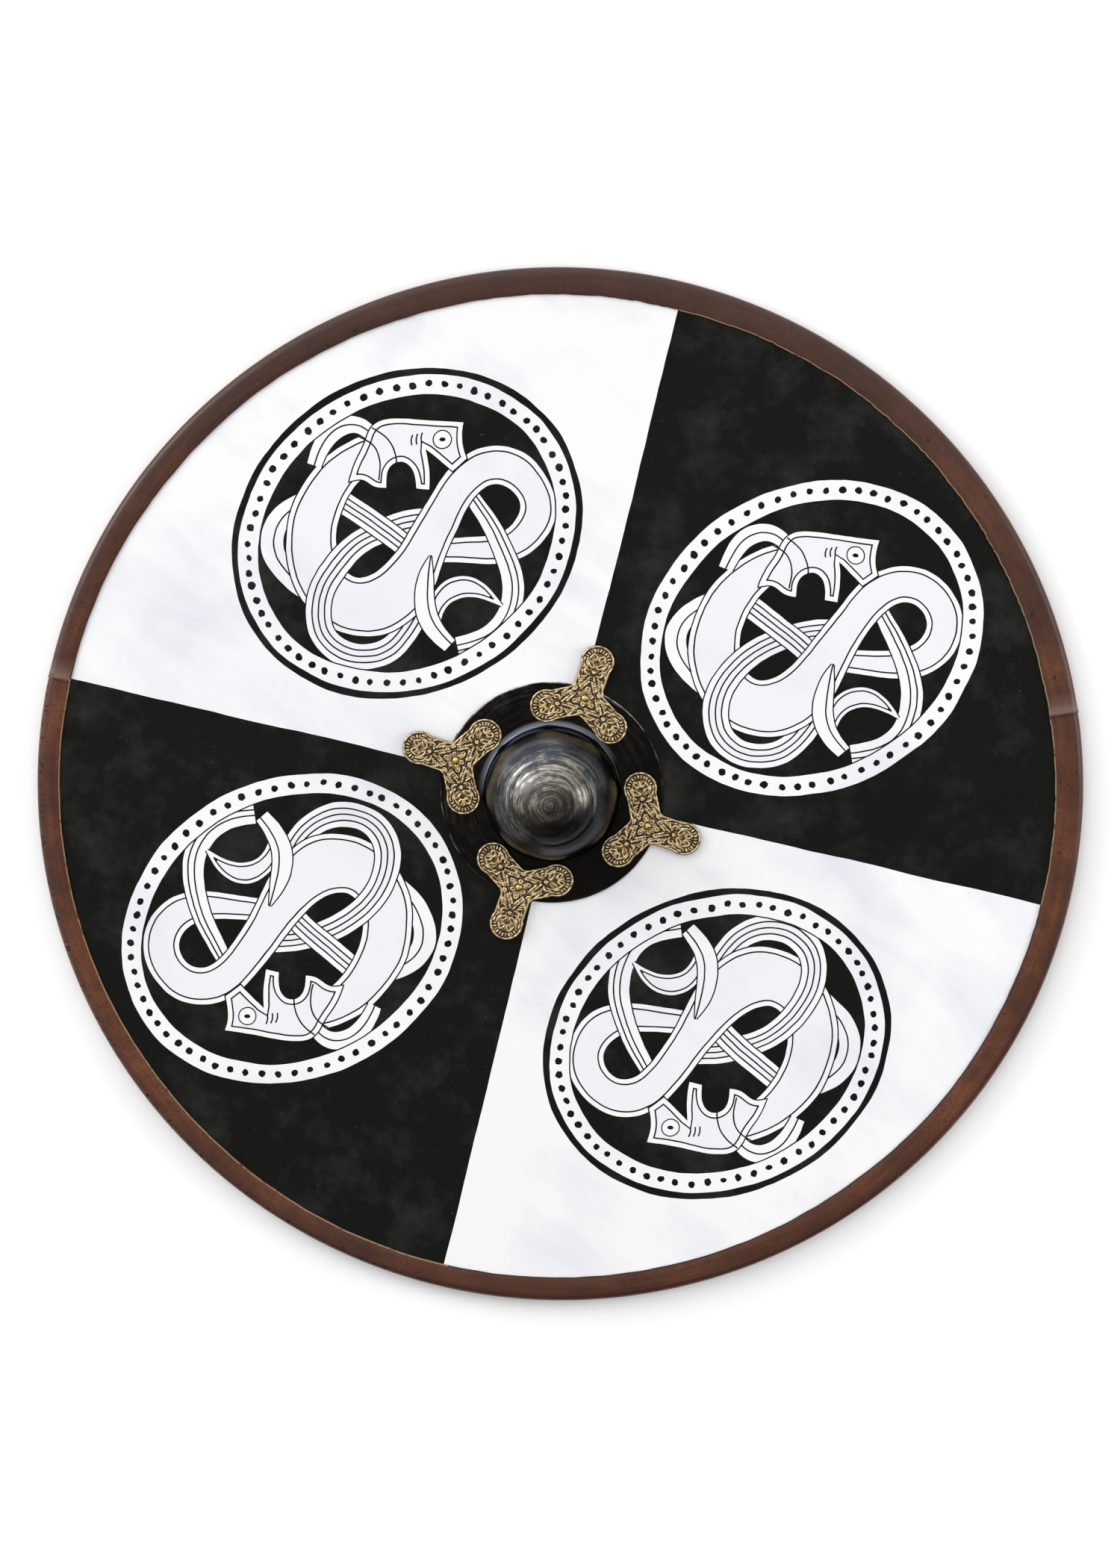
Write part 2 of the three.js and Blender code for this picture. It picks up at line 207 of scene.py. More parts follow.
SETTINGS = {
    "paint": ShieldPaint,
    "leather": ShieldLeather,
    "boss": ShieldBoss,
    "mounts": ShieldMounts,
    "wood": ShieldWood,
    "stage": ShieldStage,
}


def settings(name):
    return getattr(bpy.context.scene, f"shield_{name}")


def select_only(obj):
    bpy.ops.object.select_all(action="DESELECT")
    obj.select_set(True)
    bpy.context.view_layer.objects.active = obj


def new_mesh(name, vertices, edges=(), faces=()):
    mesh = bpy.data.meshes.new(name)
    mesh.from_pydata([tuple(map(float, v)) for v in vertices], edges, faces)
    obj = bpy.data.objects.new(name, mesh)
    bpy.context.scene.collection.objects.link(obj)
    select_only(obj)
    return obj


def join(objects):
    """Join objects into the first one."""
    bpy.ops.object.select_all(action="DESELECT")
    for obj in objects:
        obj.select_set(True)
    bpy.context.view_layer.objects.active = objects[0]
    bpy.ops.object.join()
    return objects[0]


def apply_modifier(obj, kind, **values):
    select_only(obj)
    modifier = obj.modifiers.new(kind.title(), kind)
    for name, value in values.items():
        setattr(modifier, name, value)
    bpy.ops.object.modifier_apply(modifier=modifier.name)


def cut(obj, cutter):
    apply_modifier(obj, "BOOLEAN", operation="DIFFERENCE", solver="EXACT", object=cutter)
    bpy.data.objects.remove(cutter)


def in_edit_mode(obj, *steps):
    """Run mesh operators on the whole of an object."""
    select_only(obj)
    bpy.ops.object.mode_set(mode="EDIT")
    bpy.ops.mesh.select_all(action="SELECT")
    for step in steps:
        step()
    bpy.ops.object.mode_set(mode="OBJECT")


def clean(obj, gap=1e-6):
    in_edit_mode(
        obj,
        lambda: bpy.ops.mesh.remove_doubles(threshold=gap),
        lambda: bpy.ops.mesh.normals_make_consistent(inside=False),
    )


def spun(name, profile, sides, centre):
    """A closed solid spun from (radius, height) points that end on the axis or close on themselves."""
    points = [(r, 0, z) for r, z in profile]
    loop = profile[0][0] > 0
    count = len(points)
    edges = [(i, (i + 1) % count) for i in range(count if loop else count - 1)]
    obj = new_mesh(name, points, edges)
    in_edit_mode(
        obj,
        lambda: bpy.ops.mesh.spin(steps=sides, angle=math.tau, center=(0, 0, 0), axis=(0, 0, 1)),
    )
    clean(obj)
    obj.data.transform(Matrix.Translation(centre))
    return obj


def smooth(obj, degrees=35):
    select_only(obj)
    bpy.ops.object.shade_smooth_by_angle(angle=math.radians(degrees))


def place(obj, name, nodes, materials=()):
    """Name a finished piece, give it its materials, hang it under the root and hide the parts that it stands
    for.
    """
    obj.name = name
    obj.data.name = name
    for finish in materials:
        obj.data.materials.append(finish)
    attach(obj, ROOT)
    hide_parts(*nodes)


def connect(made, inputs):
    """Set a node's inputs. Each is a value, or the socket that it is joined to."""
    for name, value in inputs.items():
        if isinstance(value, bpy.types.NodeSocket):
            made.id_data.links.new(value, made.inputs[name])
        else:
            made.inputs[name].default_value = value


def node(tree, kind, inputs=None, stops=(), out=0, **values):
    """Add a node and give back one of its outputs. The stops are a ramp's positions and colours."""
    made = tree.nodes.new("ShaderNode" + kind)
    for name, value in values.items():
        setattr(made, name, value)
    connect(made, inputs or {})
    if stops:
        ramp = made.color_ramp.elements
        while len(ramp) < len(stops):
            ramp.new(0.5)
        for stop, (position, shade) in zip(ramp, stops):
            stop.position = position
            stop.color = (shade, shade, shade, 1) if isinstance(shade, float) else shade
    return made.outputs[out]


def around_axis(tree, at, centre_x):
    """Distance from an upright axis, and the place as (x, y, distance), for patterns that run round it."""
    moved = node(tree, "Mapping", {"Vector": at, "Location": (-centre_x, 0, 0)})
    x, y = (node(tree, "SeparateXYZ", {"Vector": moved}, out=axis) for axis in "XY")
    flat = node(tree, "CombineXYZ", {"X": x, "Y": y})
    radius = node(tree, "VectorMath", {0: flat}, out="Value", operation="LENGTH")
    return radius, node(tree, "CombineXYZ", {"X": x, "Y": y, "Z": radius})


def every(millimetres):
    """The scale of a pattern whose features are so far apart."""
    return 1 / (millimetres * MM)


def material(name):
    """A new material, its node tree, its shader and its object coordinates."""
    finish = bpy.data.materials.new(name)
    finish.use_nodes = True
    tree = finish.node_tree
    return finish, tree, tree.nodes["Principled BSDF"], node(tree, "TexCoord", out="Object")


def brushed_paint(name, main, other):
    """Matt paint brushed on by hand: soft clouds where it is thin, and the faint drag of a broad brush."""
    finish, tree, shader, at = material(name)
    clouds = node(tree, "TexNoise", {"Vector": at, "Scale": every(167), "Detail": 3, "Distortion": 0.6})
    stroke = {"Vector": at, "Rotation": BRUSHED, "Scale": (130 * MM, 36 * MM, 1)}
    dragged = node(tree, "Mapping", stroke, vector_type="TEXTURE")
    uneven = {"Vector": dragged, "Scale": 1, "Detail": 6, "Roughness": 0.58, "Distortion": 0.5}
    drag = node(tree, "TexNoise", uneven)
    both = node(tree, "Math", {0: drag, 1: 0.5, 2: clouds}, operation="MULTIPLY_ADD")
    share = node(tree, "ValToRGB", {"Fac": both}, [(0.73, 0.0), (1.0, 1.0)])
    shade = node(tree, "Mix", {FACTOR: share, FIRST: main, SECOND: other}, **COLOURS)
    # a bristle's mark is drawn 1.1 mm wide, a few times as wide as a real one
    bristle = {"Vector": at, "Rotation": BRUSHED, "Scale": (17 * MM, 1.1 * MM, 1)}
    scored = node(tree, "Mapping", bristle, vector_type="TEXTURE")
    marks = node(tree, "TexNoise", {"Vector": scored, "Scale": 1})
    relief = node(tree, "Bump", {"Height": marks, "Strength": 0.2, "Distance": 0.2 * MM})
    connect(shader, {"Base Color": shade, "Normal": relief, "Roughness": 0.55, "Specular IOR Level": 0.25})
    return finish


def paints():
    """White, tinted and black paint, in the order that the drawing numbers them."""
    paint = settings("paint")
    return [
        brushed_paint("white_casein_paint", paint.white, paint.cloud),
        brushed_paint("grey_white_casein_paint", paint.tint, paint.cloud),
        black_paint(),
    ]


def black_paint():
    """Black casein paint: flat and deep, rubbed greyer in soft patches, with a few pale and rusty grains."""
    paint = settings("paint")
    finish, tree, shader, at = material("black_casein_paint")
    broad = node(tree, "TexNoise", {"Vector": at, "Scale": every(58.8), "Detail": 8, "Roughness": 0.68})
    rubbed = node(tree, "ValToRGB", {"Fac": broad}, [(0.49, 0.0), (0.86, 1.0)])
    shade = node(tree, "Mix", {FACTOR: rubbed, FIRST: paint.black, SECOND: paint.scuff}, **COLOURS)
    # real dust is finer than a pixel, so it is drawn about 1 mm wide
    grains = node(tree, "TexNoise", {"Vector": at, "Scale": every(1.92), "Detail": 1, "Roughness": 0.4})
    dust = node(tree, "ValToRGB", {"Fac": grains}, [(0.79, 0.0), (0.83, 0.55)])
    rust = node(tree, "TexNoise", {"Vector": at, "Scale": every(200), "Detail": 1})
    hue = node(tree, "ValToRGB", {"Fac": rust}, [(0.5, srgb("#6f6a60")), (0.58, srgb("#5b2f1d"))])
    dusty = node(tree, "Mix", {FACTOR: dust, FIRST: shade, SECOND: hue}, **COLOURS)
    relief = node(tree, "Bump", {"Height": broad, "Strength": 0.3, "Distance": 0.6 * MM})
    connect(shader, {"Base Color": dusty, "Normal": relief, "Roughness": 0.6, "Specular IOR Level": 0.12})
    return finish


def planed_wood(name, plank):
    """Planed wood: close grain along the piece, and where it has planks, thin dark lines where they meet."""
    wood = settings("wood")
    finish, tree, shader, at = material(name)
    axes = "YX" if plank else "XY"
    across, along = (node(tree, "SeparateXYZ", {"Vector": at}, out=axis) for axis in axes)
    number = node(tree, "Math", {0: across, 1: plank or 1.0}, operation="DIVIDE")
    whole = node(tree, "Math", {0: number}, operation="FLOOR")
    shifted = node(tree, "Math", {0: whole, 1: 0.37, 2: along}, operation="MULTIPLY_ADD")
    height = node(tree, "SeparateXYZ", {"Vector": at}, out="Z")
    grain_at = node(tree, "CombineXYZ", {"X": shifted, "Y": across, "Z": height})
    stretched = node(tree, "Mapping", {"Vector": grain_at, "Scale": (every(167), every(5.26), every(5.26))})
    grain = node(tree, "TexNoise", {"Vector": stretched, "Scale": 1, "Detail": 6, "Distortion": 0.6})
    shade = node(tree, "ValToRGB", {"Fac": grain}, [(0.35, wood.early), (0.62, wood.late)])
    if plank:
        own = node(tree, "TexWhiteNoise", {"W": whole}, noise_dimensions="1D")
        darker = node(tree, "Math", {0: own, 1: 0.5}, operation="MULTIPLY")
        shade = node(tree, "Mix", {FACTOR: darker, FIRST: shade, SECOND: wood.late}, **COLOURS)
        # a glue line is finer than a pixel, so it is drawn 1.5 mm wide
        part = node(tree, "Math", {0: number}, operation="FRACT")
        joint = node(tree, "ValToRGB", {"Fac": part}, [(0.0, 0.9), (0.014, 0.0)])
        shade = node(tree, "Mix", {FACTOR: joint, FIRST: shade, SECOND: srgb("#3a2815")}, **COLOURS)
    relief = node(tree, "Bump", {"Height": grain, "Strength": 0.4, "Distance": 0.4 * MM})
    connect(shader, {"Base Color": shade, "Normal": relief, "Roughness": 0.62})
    return finish


def smooth_leather():
    """Vegetable tanned leather, stained red brown and waxed: long smears, fine grain and a soft sheen.
    Painted shade and highlights lie across and along the band.
    """
    leather = settings("leather")
    finish, tree, shader, at = material("waxed_brown_leather")
    radius, ring = around_axis(tree, at, 0)
    smeared = node(tree, "Mapping", {"Vector": ring, "Scale": (every(71.4), every(71.4), every(5))})
    smears = node(tree, "TexNoise", {"Vector": smeared, "Scale": 1, "Detail": 6})
    stain = node(tree, "TexNoise", {"Vector": at, "Scale": every(47.6), "Detail": 9, "Roughness": 0.68})
    both = node(tree, "Math", {0: smears, 1: 0.4, 2: stain}, operation="MULTIPLY_ADD")
    tones = [(0.55, leather.light), (0.72, leather.brown), (0.89, leather.dark)]
    shade = node(tree, "ValToRGB", {"Fac": both}, tones)
    # the grain is drawn about 1.3 mm wide, twice as wide as real calf grain
    grain = node(tree, "TexVoronoi", {"Vector": at, "Scale": every(1.25)})
    furrow = node(tree, "MapRange", {"Value": grain, "From Min": 0.3, "To Max": 0.9})
    shade = node(tree, "Mix", {FACTOR: furrow, FIRST: shade, SECOND: leather.dark}, **COLOURS)
    # painted shade: the band is drawn darker and greyer near its inner edge and where it turns over the fold,
    # where its rounded face is shaded
    across = node(tree, "MapRange", {"Value": radius, "From Min": SHIELD_R - 30 * MM, "From Max": SHIELD_R})
    edge_shade = [(0.1, 0.5), (0.35, 0.0), (0.7, 0.0), (0.82, 0.45), (1.0, 0.1)]
    edges = node(tree, "ValToRGB", {"Fac": across}, edge_shade)
    shade = node(tree, "Mix", {FACTOR: edges, FIRST: shade, SECOND: srgb("#3a2823")}, **COLOURS)
    # painted shade makes the lower side darker, and a painted sheen makes the upper side greyer
    height = node(tree, "SeparateXYZ", {"Vector": at}, out="Y")
    shade_below = node(tree, "MapRange", {"Value": height, "From Min": -0.25, "From Max": -0.43, "To Max": 0.55})
    shade = node(tree, "Mix", {FACTOR: shade_below, FIRST: shade, SECOND: leather.dark}, **COLOURS)
    sheen_above = node(tree, "MapRange", {"Value": height, "From Min": 0.02, "From Max": 0.4, "To Max": 0.7})
    shade = node(tree, "Mix", {FACTOR: sheen_above, FIRST: shade, SECOND: srgb("#35241f")}, **COLOURS)
    for seam in SEAMS:
        # painted highlight: the raised end of the upper strip is drawn paler, where it catches the light
        start = (*(SHIELD_R * polar(1, seam)), 0)
        onward = (*(polar(1 if seam < 90 else -1, seam + 90)), 0)
        moved = node(tree, "VectorMath", {0: at, 1: start}, operation="SUBTRACT")
        past = node(tree, "VectorMath", {0: moved, 1: onward}, out="Value", operation="DOT_PRODUCT")
        beyond = node(tree, "MapRange", {"Value": past, "From Max": 50 * MM})
        seam_highlight = [(0.0, 0.0), (0.02, 0.0), (0.06, 0.5), (0.2, 0.22), (0.4, 0.0)]
        rubbed = node(tree, "ValToRGB", {"Fac": beyond}, seam_highlight)
        far = node(tree, "VectorMath", {0: moved}, out="Value", operation="LENGTH")
        close = node(tree, "Math", {0: far, 1: 50 * MM}, operation="LESS_THAN")
        amount = node(tree, "Math", {0: rubbed, 1: close}, operation="MULTIPLY")
        shade = node(tree, "Mix", {FACTOR: amount, FIRST: shade, SECOND: srgb("#8a7268")}, **COLOURS)
    # pores and nicks are drawn a little larger than real ones, which would not show
    pores = node(tree, "TexNoise", {"Vector": at, "Scale": every(6.67), "Detail": 1, "Roughness": 0.4})
    pore = node(tree, "ValToRGB", {"Fac": pores}, [(0.76, 0.0), (0.78, 0.8)])
    struck_at = node(tree, "Mapping", {"Vector": ring, "Scale": (every(3.85), every(3.85), every(16.7))})
    struck = node(tree, "TexNoise", {"Vector": struck_at, "Scale": 1})
    rim = {"Value": radius, "From Min": SHIELD_R - 8 * MM, "From Max": SHIELD_R - 3 * MM, "To Max": 0.17}
    side = node(tree, "VectorMath", {0: at, 1: (-0.83, -0.55, 0)}, out="Value", operation="DOT_PRODUCT")
    there = node(tree, "MapRange", {"Value": side, "From Min": 0.2, "From Max": 0.36})
    push = node(tree, "Math", {0: node(tree, "MapRange", rim), 1: there}, operation="MULTIPLY")
    level = node(tree, "Math", {0: struck, 1: push}, operation="ADD")
    nick = node(tree, "ValToRGB", {"Fac": level}, [(0.74, 0.0), (0.76, 0.9)])
    marks = node(tree, "Math", {0: pore, 1: nick}, operation="MAXIMUM")
    shade = node(tree, "Mix", {FACTOR: marks, FIRST: shade, SECOND: srgb("#120b08")}, **COLOURS)
    depth = node(tree, "Math", {0: grain, 1: 0.08, 2: smears}, operation="MULTIPLY_ADD")
    relief = node(tree, "Bump", {"Height": depth, "Strength": 0.6, "Distance": 0.8 * MM})
    gloss = node(tree, "MapRange", {"Value": smears, "To Min": 0.3, "To Max": 0.48})
    connect(shader, {"Base Color": shade, "Normal": relief, "Roughness": gloss, "Specular IOR Level": 0.32})
    return finish


def raw_leather():
    """The cut edge of the leather: pale and fibrous, but dark beside the white paint."""
    leather = settings("leather")
    finish, tree, shader, at = material("cut_leather_edge")
    fibres = node(tree, "TexNoise", {"Vector": at, "Scale": every(9.1), "Detail": 5, "Roughness": 0.7})
    pale = node(tree, "ValToRGB", {"Fac": fibres}, [(0.36, leather.brown), (0.47, leather.raw)])
    # in coordinates turned with the cross, x times y is above 0 on the black quarters
    quartered = node(tree, "Mapping", {"Vector": at, "Rotation": (0, 0, -settings("paint").cross_turn)})
    x, y = (node(tree, "SeparateXYZ", {"Vector": quartered}, out=axis) for axis in "XY")
    quarter = node(tree, "Math", {0: x, 1: y}, operation="MULTIPLY")
    on_black = node(tree, "Math", {0: quarter, 1: 0.0}, operation="GREATER_THAN")
    shade = node(tree, "Mix", {FACTOR: on_black, FIRST: leather.dark, SECOND: pale}, **COLOURS)
    connect(shader, {"Base Color": shade, "Roughness": 0.9})
    return finish


def blackened_steel():
    """Spun steel, blued and blackened in oil, then rubbed bare in fine rings on the dome by wire wool. The
    dome has painted highlights on its upper left and painted shade on its lower right.
    """
    boss = settings("boss")
    finish, tree, shader, at = material("blackened_steel")
    radius, ring = around_axis(tree, at, BOSS_X)
    # scratches are drawn about 0.5 mm wide, twice as wide as real ones
    fine_at = node(tree, "Mapping", {"Vector": ring, "Scale": (every(9.1), every(9.1), every(0.667))})
    fine = node(tree, "TexNoise", {"Vector": fine_at, "Scale": 1, "Detail": 3, "Distortion": 0.7})
    long_at = node(tree, "Mapping", {"Vector": ring, "Scale": (every(29.4), every(29.4), every(2.38))})
    rings = node(tree, "TexNoise", {"Vector": long_at, "Scale": 1, "Detail": 4, "Distortion": 0.5})
    patches = node(tree, "TexNoise", {"Vector": at, "Scale": every(16.7), "Detail": 5, "Roughness": 0.7})
    wear = node(tree, "Math", {0: fine, 1: rings}, operation="MULTIPLY")
    worn_here = node(tree, "Math", {0: wear, 1: patches}, operation="MULTIPLY")
    bare = node(tree, "ValToRGB", {"Fac": worn_here}, [(0.11, 0.0), (0.21, 1.0)])
    # places on the next ramps are shares of 100 mm from the middle of the boss
    reach = node(tree, "MapRange", {"Value": radius, "From Max": 100 * MM})
    rub = [(0.0, 0.44), (0.1, 0.36), (0.34, 0.46), (0.42, 0.36)]
    rub += [(0.5, 0.1), (0.55, 0.01), (0.948, 0.03), (0.957, 0.9)]
    amount = node(tree, "ValToRGB", {"Fac": reach}, rub)
    # painted highlight: bare scratches are drawn denser on the upper left and sparser on the lower right,
    # where the dome catches the light and where it is shaded
    lit_side = node(tree, "VectorMath", {0: ring, 1: (-0.5, 0.87, 0)}, out="Value", operation="DOT_PRODUCT")
    span = {"Value": lit_side, "From Min": -30 * MM, "From Max": 30 * MM, "To Min": 0.25, "To Max": 2.3}
    uneven = node(tree, "Math", {0: amount, 1: node(tree, "MapRange", span)}, operation="MULTIPLY")
    share = node(tree, "Math", {0: bare, 1: uneven}, operation="MULTIPLY")
    tones = [(0.0, boss.cap), (0.33, boss.cap), (0.38, boss.blue), (0.5, boss.blue)]
    tones += [(0.56, boss.low), (0.6, boss.black)]
    shade = node(tree, "ValToRGB", {"Fac": reach}, tones)
    # painted highlight and painted shade: the dome is drawn paler on its upper left and darker, towards the
    # flange's black, on its lower right
    span = {"Value": lit_side, "From Min": 10 * MM, "From Max": 45 * MM, "To Max": 0.45}
    painted_sheen = node(tree, "MapRange", span)
    on_dome = node(tree, "Math", {0: reach, 1: 0.55}, operation="LESS_THAN")
    sheen_on_dome = node(tree, "Math", {0: painted_sheen, 1: on_dome}, operation="MULTIPLY")
    shade = node(tree, "Mix", {FACTOR: sheen_on_dome, FIRST: shade, SECOND: boss.foot}, **COLOURS)
    darker = node(tree, "MapRange", {"Value": lit_side, "From Max": -35 * MM, "To Max": 0.6})
    shade = node(tree, "Mix", {FACTOR: darker, FIRST: shade, SECOND: boss.black}, **COLOURS)
    # painted highlight: the hollow round the dome's foot is drawn pale on its upper side
    upper = node(tree, "VectorMath", {0: ring, 1: (-0.25, 0.97, 0)}, out="Value", operation="DOT_PRODUCT")
    lit = node(tree, "MapRange", {"Value": upper, "From Min": 10 * MM, "From Max": 50 * MM})
    hollow = node(tree, "ValToRGB", {"Fac": reach}, [(0.575, 0.0), (0.59, 1.0), (0.615, 1.0), (0.635, 0.0)])
    foot_highlight = node(tree, "Math", {0: lit, 1: hollow}, operation="MULTIPLY")
    shade = node(tree, "Mix", {FACTOR: foot_highlight, FIRST: shade, SECOND: boss.foot}, **COLOURS)
    shade = node(tree, "Mix", {FACTOR: share, FIRST: shade, SECOND: boss.worn}, **COLOURS)
    relief = node(tree, "Bump", {"Height": rings, "Strength": 0.25, "Distance": 0.4 * MM})
    gloss = node(tree, "MapRange", {"Value": fine, "To Min": 0.2, "To Max": 0.42})
    # scratches that run round stretch a highlight outwards from the middle
    spun_round = node(tree, "Tangent", direction_type="RADIAL", axis="Z")
    connect(shader, {"Base Color": shade, "Normal": relief, "Roughness": gloss, "Tangent": spun_round})
    connect(shader, {"Anisotropic": 0.75, "Metallic": 0.92})
    return finish


def cast_brass():
    """Cast brass with age in it: pale gold where the strands are rubbed, brown to black in the hollows."""
    mounts = settings("mounts")
    finish, tree, shader, at = material("aged_cast_brass")
    height = node(tree, "SeparateXYZ", {"Vector": at}, out="Z")
    top = MOUNT_FOOT + mounts.plate
    speckle = node(tree, "TexNoise", {"Vector": at, "Scale": every(1.43), "Detail": 2})
    level = node(tree, "MapRange", {"Value": height, "From Min": top, "From Max": top + 1.15 * MM})
    rubbed = node(tree, "Math", {0: speckle, 1: 0.3, 2: level}, operation="MULTIPLY_ADD")
    tones = [(0.2, mounts.dark), (0.6, mounts.middle), (1.0, mounts.bright)]
    shade = node(tree, "ValToRGB", {"Fac": rubbed}, tones)
    metal = node(tree, "MapRange", {"Value": rubbed, "From Min": 0.2, "From Max": 0.5})
    gloss = node(tree, "MapRange", {"Value": rubbed, "From Min": 0.2, "To Min": 0.7, "To Max": 0.28})
    connect(shader, {"Base Color": shade, "Metallic": metal, "Roughness": gloss})
    return finish


def polished_brass():
    """Drawn brass, as on a nail's head: yellow and bright, with fine scratches."""
    finish, tree, shader, at = material("polished_brass")
    scratches = node(tree, "TexNoise", {"Vector": at, "Scale": every(1.11), "Detail": 3})
    shade = node(tree, "ValToRGB", {"Fac": scratches}, [(0.3, srgb("#b99a4e")), (0.7, srgb("#e2cc86"))])
    connect(shader, {"Base Color": shade, "Metallic": 1, "Roughness": 0.28})
    return finish


def forged_iron():
    """Forged iron with its black scale on: dull, uneven and a little brown."""
    finish, tree, shader, at = material("forged_iron")
    scale = node(tree, "TexNoise", {"Vector": at, "Scale": every(3.85), "Detail": 5})
    shade = node(tree, "ValToRGB", {"Fac": scale}, [(0.35, srgb("#2a2725")), (0.7, srgb("#524840"))])
    relief = node(tree, "Bump", {"Height": scale, "Strength": 0.5, "Distance": 0.4 * MM})
    connect(shader, {"Base Color": shade, "Normal": relief, "Metallic": 0.85, "Roughness": 0.55})
    return finish


def floor_paint():
    """Matt white studio floor: evenly pale, with clouds too faint to draw the eye."""
    finish, tree, shader, at = material("pale_studio_floor")
    cloud = node(tree, "TexNoise", {"Vector": at, "Scale": every(333)})
    shade = node(tree, "ValToRGB", {"Fac": cloud}, [(0.2, settings("stage").floor), (0.8, srgb("#f5f5f5"))])
    connect(shader, {"Base Color": shade, "Roughness": 0.9})
    return finish


WHITE, TINT, BLACK, NOTHING = range(4)
EDGE_WIDTH = 1.2  # black edge that parts a ribbon from what it crosses, millimetres
LEAST_WIDTH = 0.3  # a layer of a ribbon stops where it would be narrower, millimetres
QUARTER_SWEEP = 89.5  # a painted black quarter is a little under a right angle, degrees
MERGE = 4e-3  # points of the drawing that are closer than this become one, millimetres
JOIN = 2e-6  # the painted face is joined to the board where their points are closer than this, metres
LAYER_REACH = 0.07  # how much further a ribbon's next layer reaches, as a share of the curve's last step


def polar(radius, degrees):
    return radius * np.array([math.cos(math.radians(degrees)), math.sin(math.radians(degrees))])


def turned(points, degrees):
    cos, sin = math.cos(math.radians(degrees)), math.sin(math.radians(degrees))
    return np.stack([points[:, 0] * cos - points[:, 1] * sin, points[:, 0] * sin + points[:, 1] * cos], 1)


def curve(rows, step=2.2):
    """A smooth curve led by rows of numbers, of which the first two are x and y."""
    rows = np.array(rows, float)
    rows = np.vstack([2 * rows[0] - rows[1], rows, 2 * rows[-1] - rows[-2]])
    points = []
    for a, b, c, d in zip(rows, rows[1:], rows[2:], rows[3:]):
        count = max(2, round(math.dist(b[:2], c[:2]) / step))
        for t in np.arange(count) / count:
            ahead = t**3 * d + (1 + 3 * t + 3 * t * t - 3 * t**3) * c
            points.append(((1 - t) ** 3 * a + (4 - 6 * t * t + 3 * t**3) * b + ahead) / 6)
    points.append((rows[-3] + 4 * rows[-2] + rows[-1]) / 6)
    return np.array(points)


def strip(rows, left, right):
    """The outline of a ribbon that reaches so far to the left and right of a curve."""
    ahead = np.gradient(rows[:, :2], axis=0)
    ahead /= np.linalg.norm(ahead, axis=1)[:, None]
    side = np.stack([-ahead[:, 1], ahead[:, 0]], 1)
    upper = rows[:, :2] + side * left[:, None]
    lower = rows[:, :2] - side * right[:, None]
    return np.vstack([lower, upper[::-1]])


def reaching(rows, number):
    """A ribbon whose ends reach a little further with each layer, so that no lower layer shows there."""
    longer = rows.copy()
    longer[0, :2] += LAYER_REACH * number * (rows[0, :2] - rows[1, :2])
    longer[-1, :2] += LAYER_REACH * number * (rows[-1, :2] - rows[-2, :2])
    return longer


def anticlockwise(outline):
    ahead = np.roll(outline, -1, 0)
    area = np.sum(outline[:, 0] * ahead[:, 1] - outline[:, 1] * ahead[:, 0])
    return outline if area > 0 else outline[::-1]


def inset(outline, distance):
    """A closed outline moved inwards, without the points that would come too close to it."""
    outline = anticlockwise(outline)
    before = outline - np.roll(outline, 1, 0)
    after = np.roll(outline, -1, 0) - outline
    before /= np.linalg.norm(before, axis=1)[:, None]
    after /= np.linalg.norm(after, axis=1)[:, None]
    ahead = before + after
    ahead /= np.linalg.norm(ahead, axis=1)[:, None]
    inward = np.stack([-ahead[:, 1], ahead[:, 0]], 1)
    # a corner's point moves further than the rest, but by no more than 1 / 0.6 of the distance
    spread = np.maximum(np.sum(inward * np.stack([-before[:, 1], before[:, 0]], 1), axis=1), 0.6)
    moved = outline + inward * (distance / spread)[:, None]
    gaps = np.linalg.norm(moved[:, None] - outline[None], axis=2).min(axis=1)
    return moved[gaps > 0.97 * abs(distance)]


def ellipse(a, b, degrees, step=2.5):
    count = 2 * int(math.pi * (a + b) / step / 2)
    turns = np.arange(count) * math.tau / count
    lean = math.radians(degrees)
    x = a * np.cos(turns)
    y = b * np.sin(turns)
    return np.stack([x * math.cos(lean) - y * math.sin(lean), x * math.sin(lean) + y * math.cos(lean)], 1)


def ring_halves(outer, inner):
    """The two halves of the ring between two closed outlines that start in the same direction."""
    half_out, half_in = len(outer) // 2, len(inner) // 2
    yield np.vstack([outer[: half_out + 1], inner[: half_in + 1][::-1]])
    yield np.vstack([outer[half_out:], outer[:1], inner[:1], inner[half_in:][::-1]])


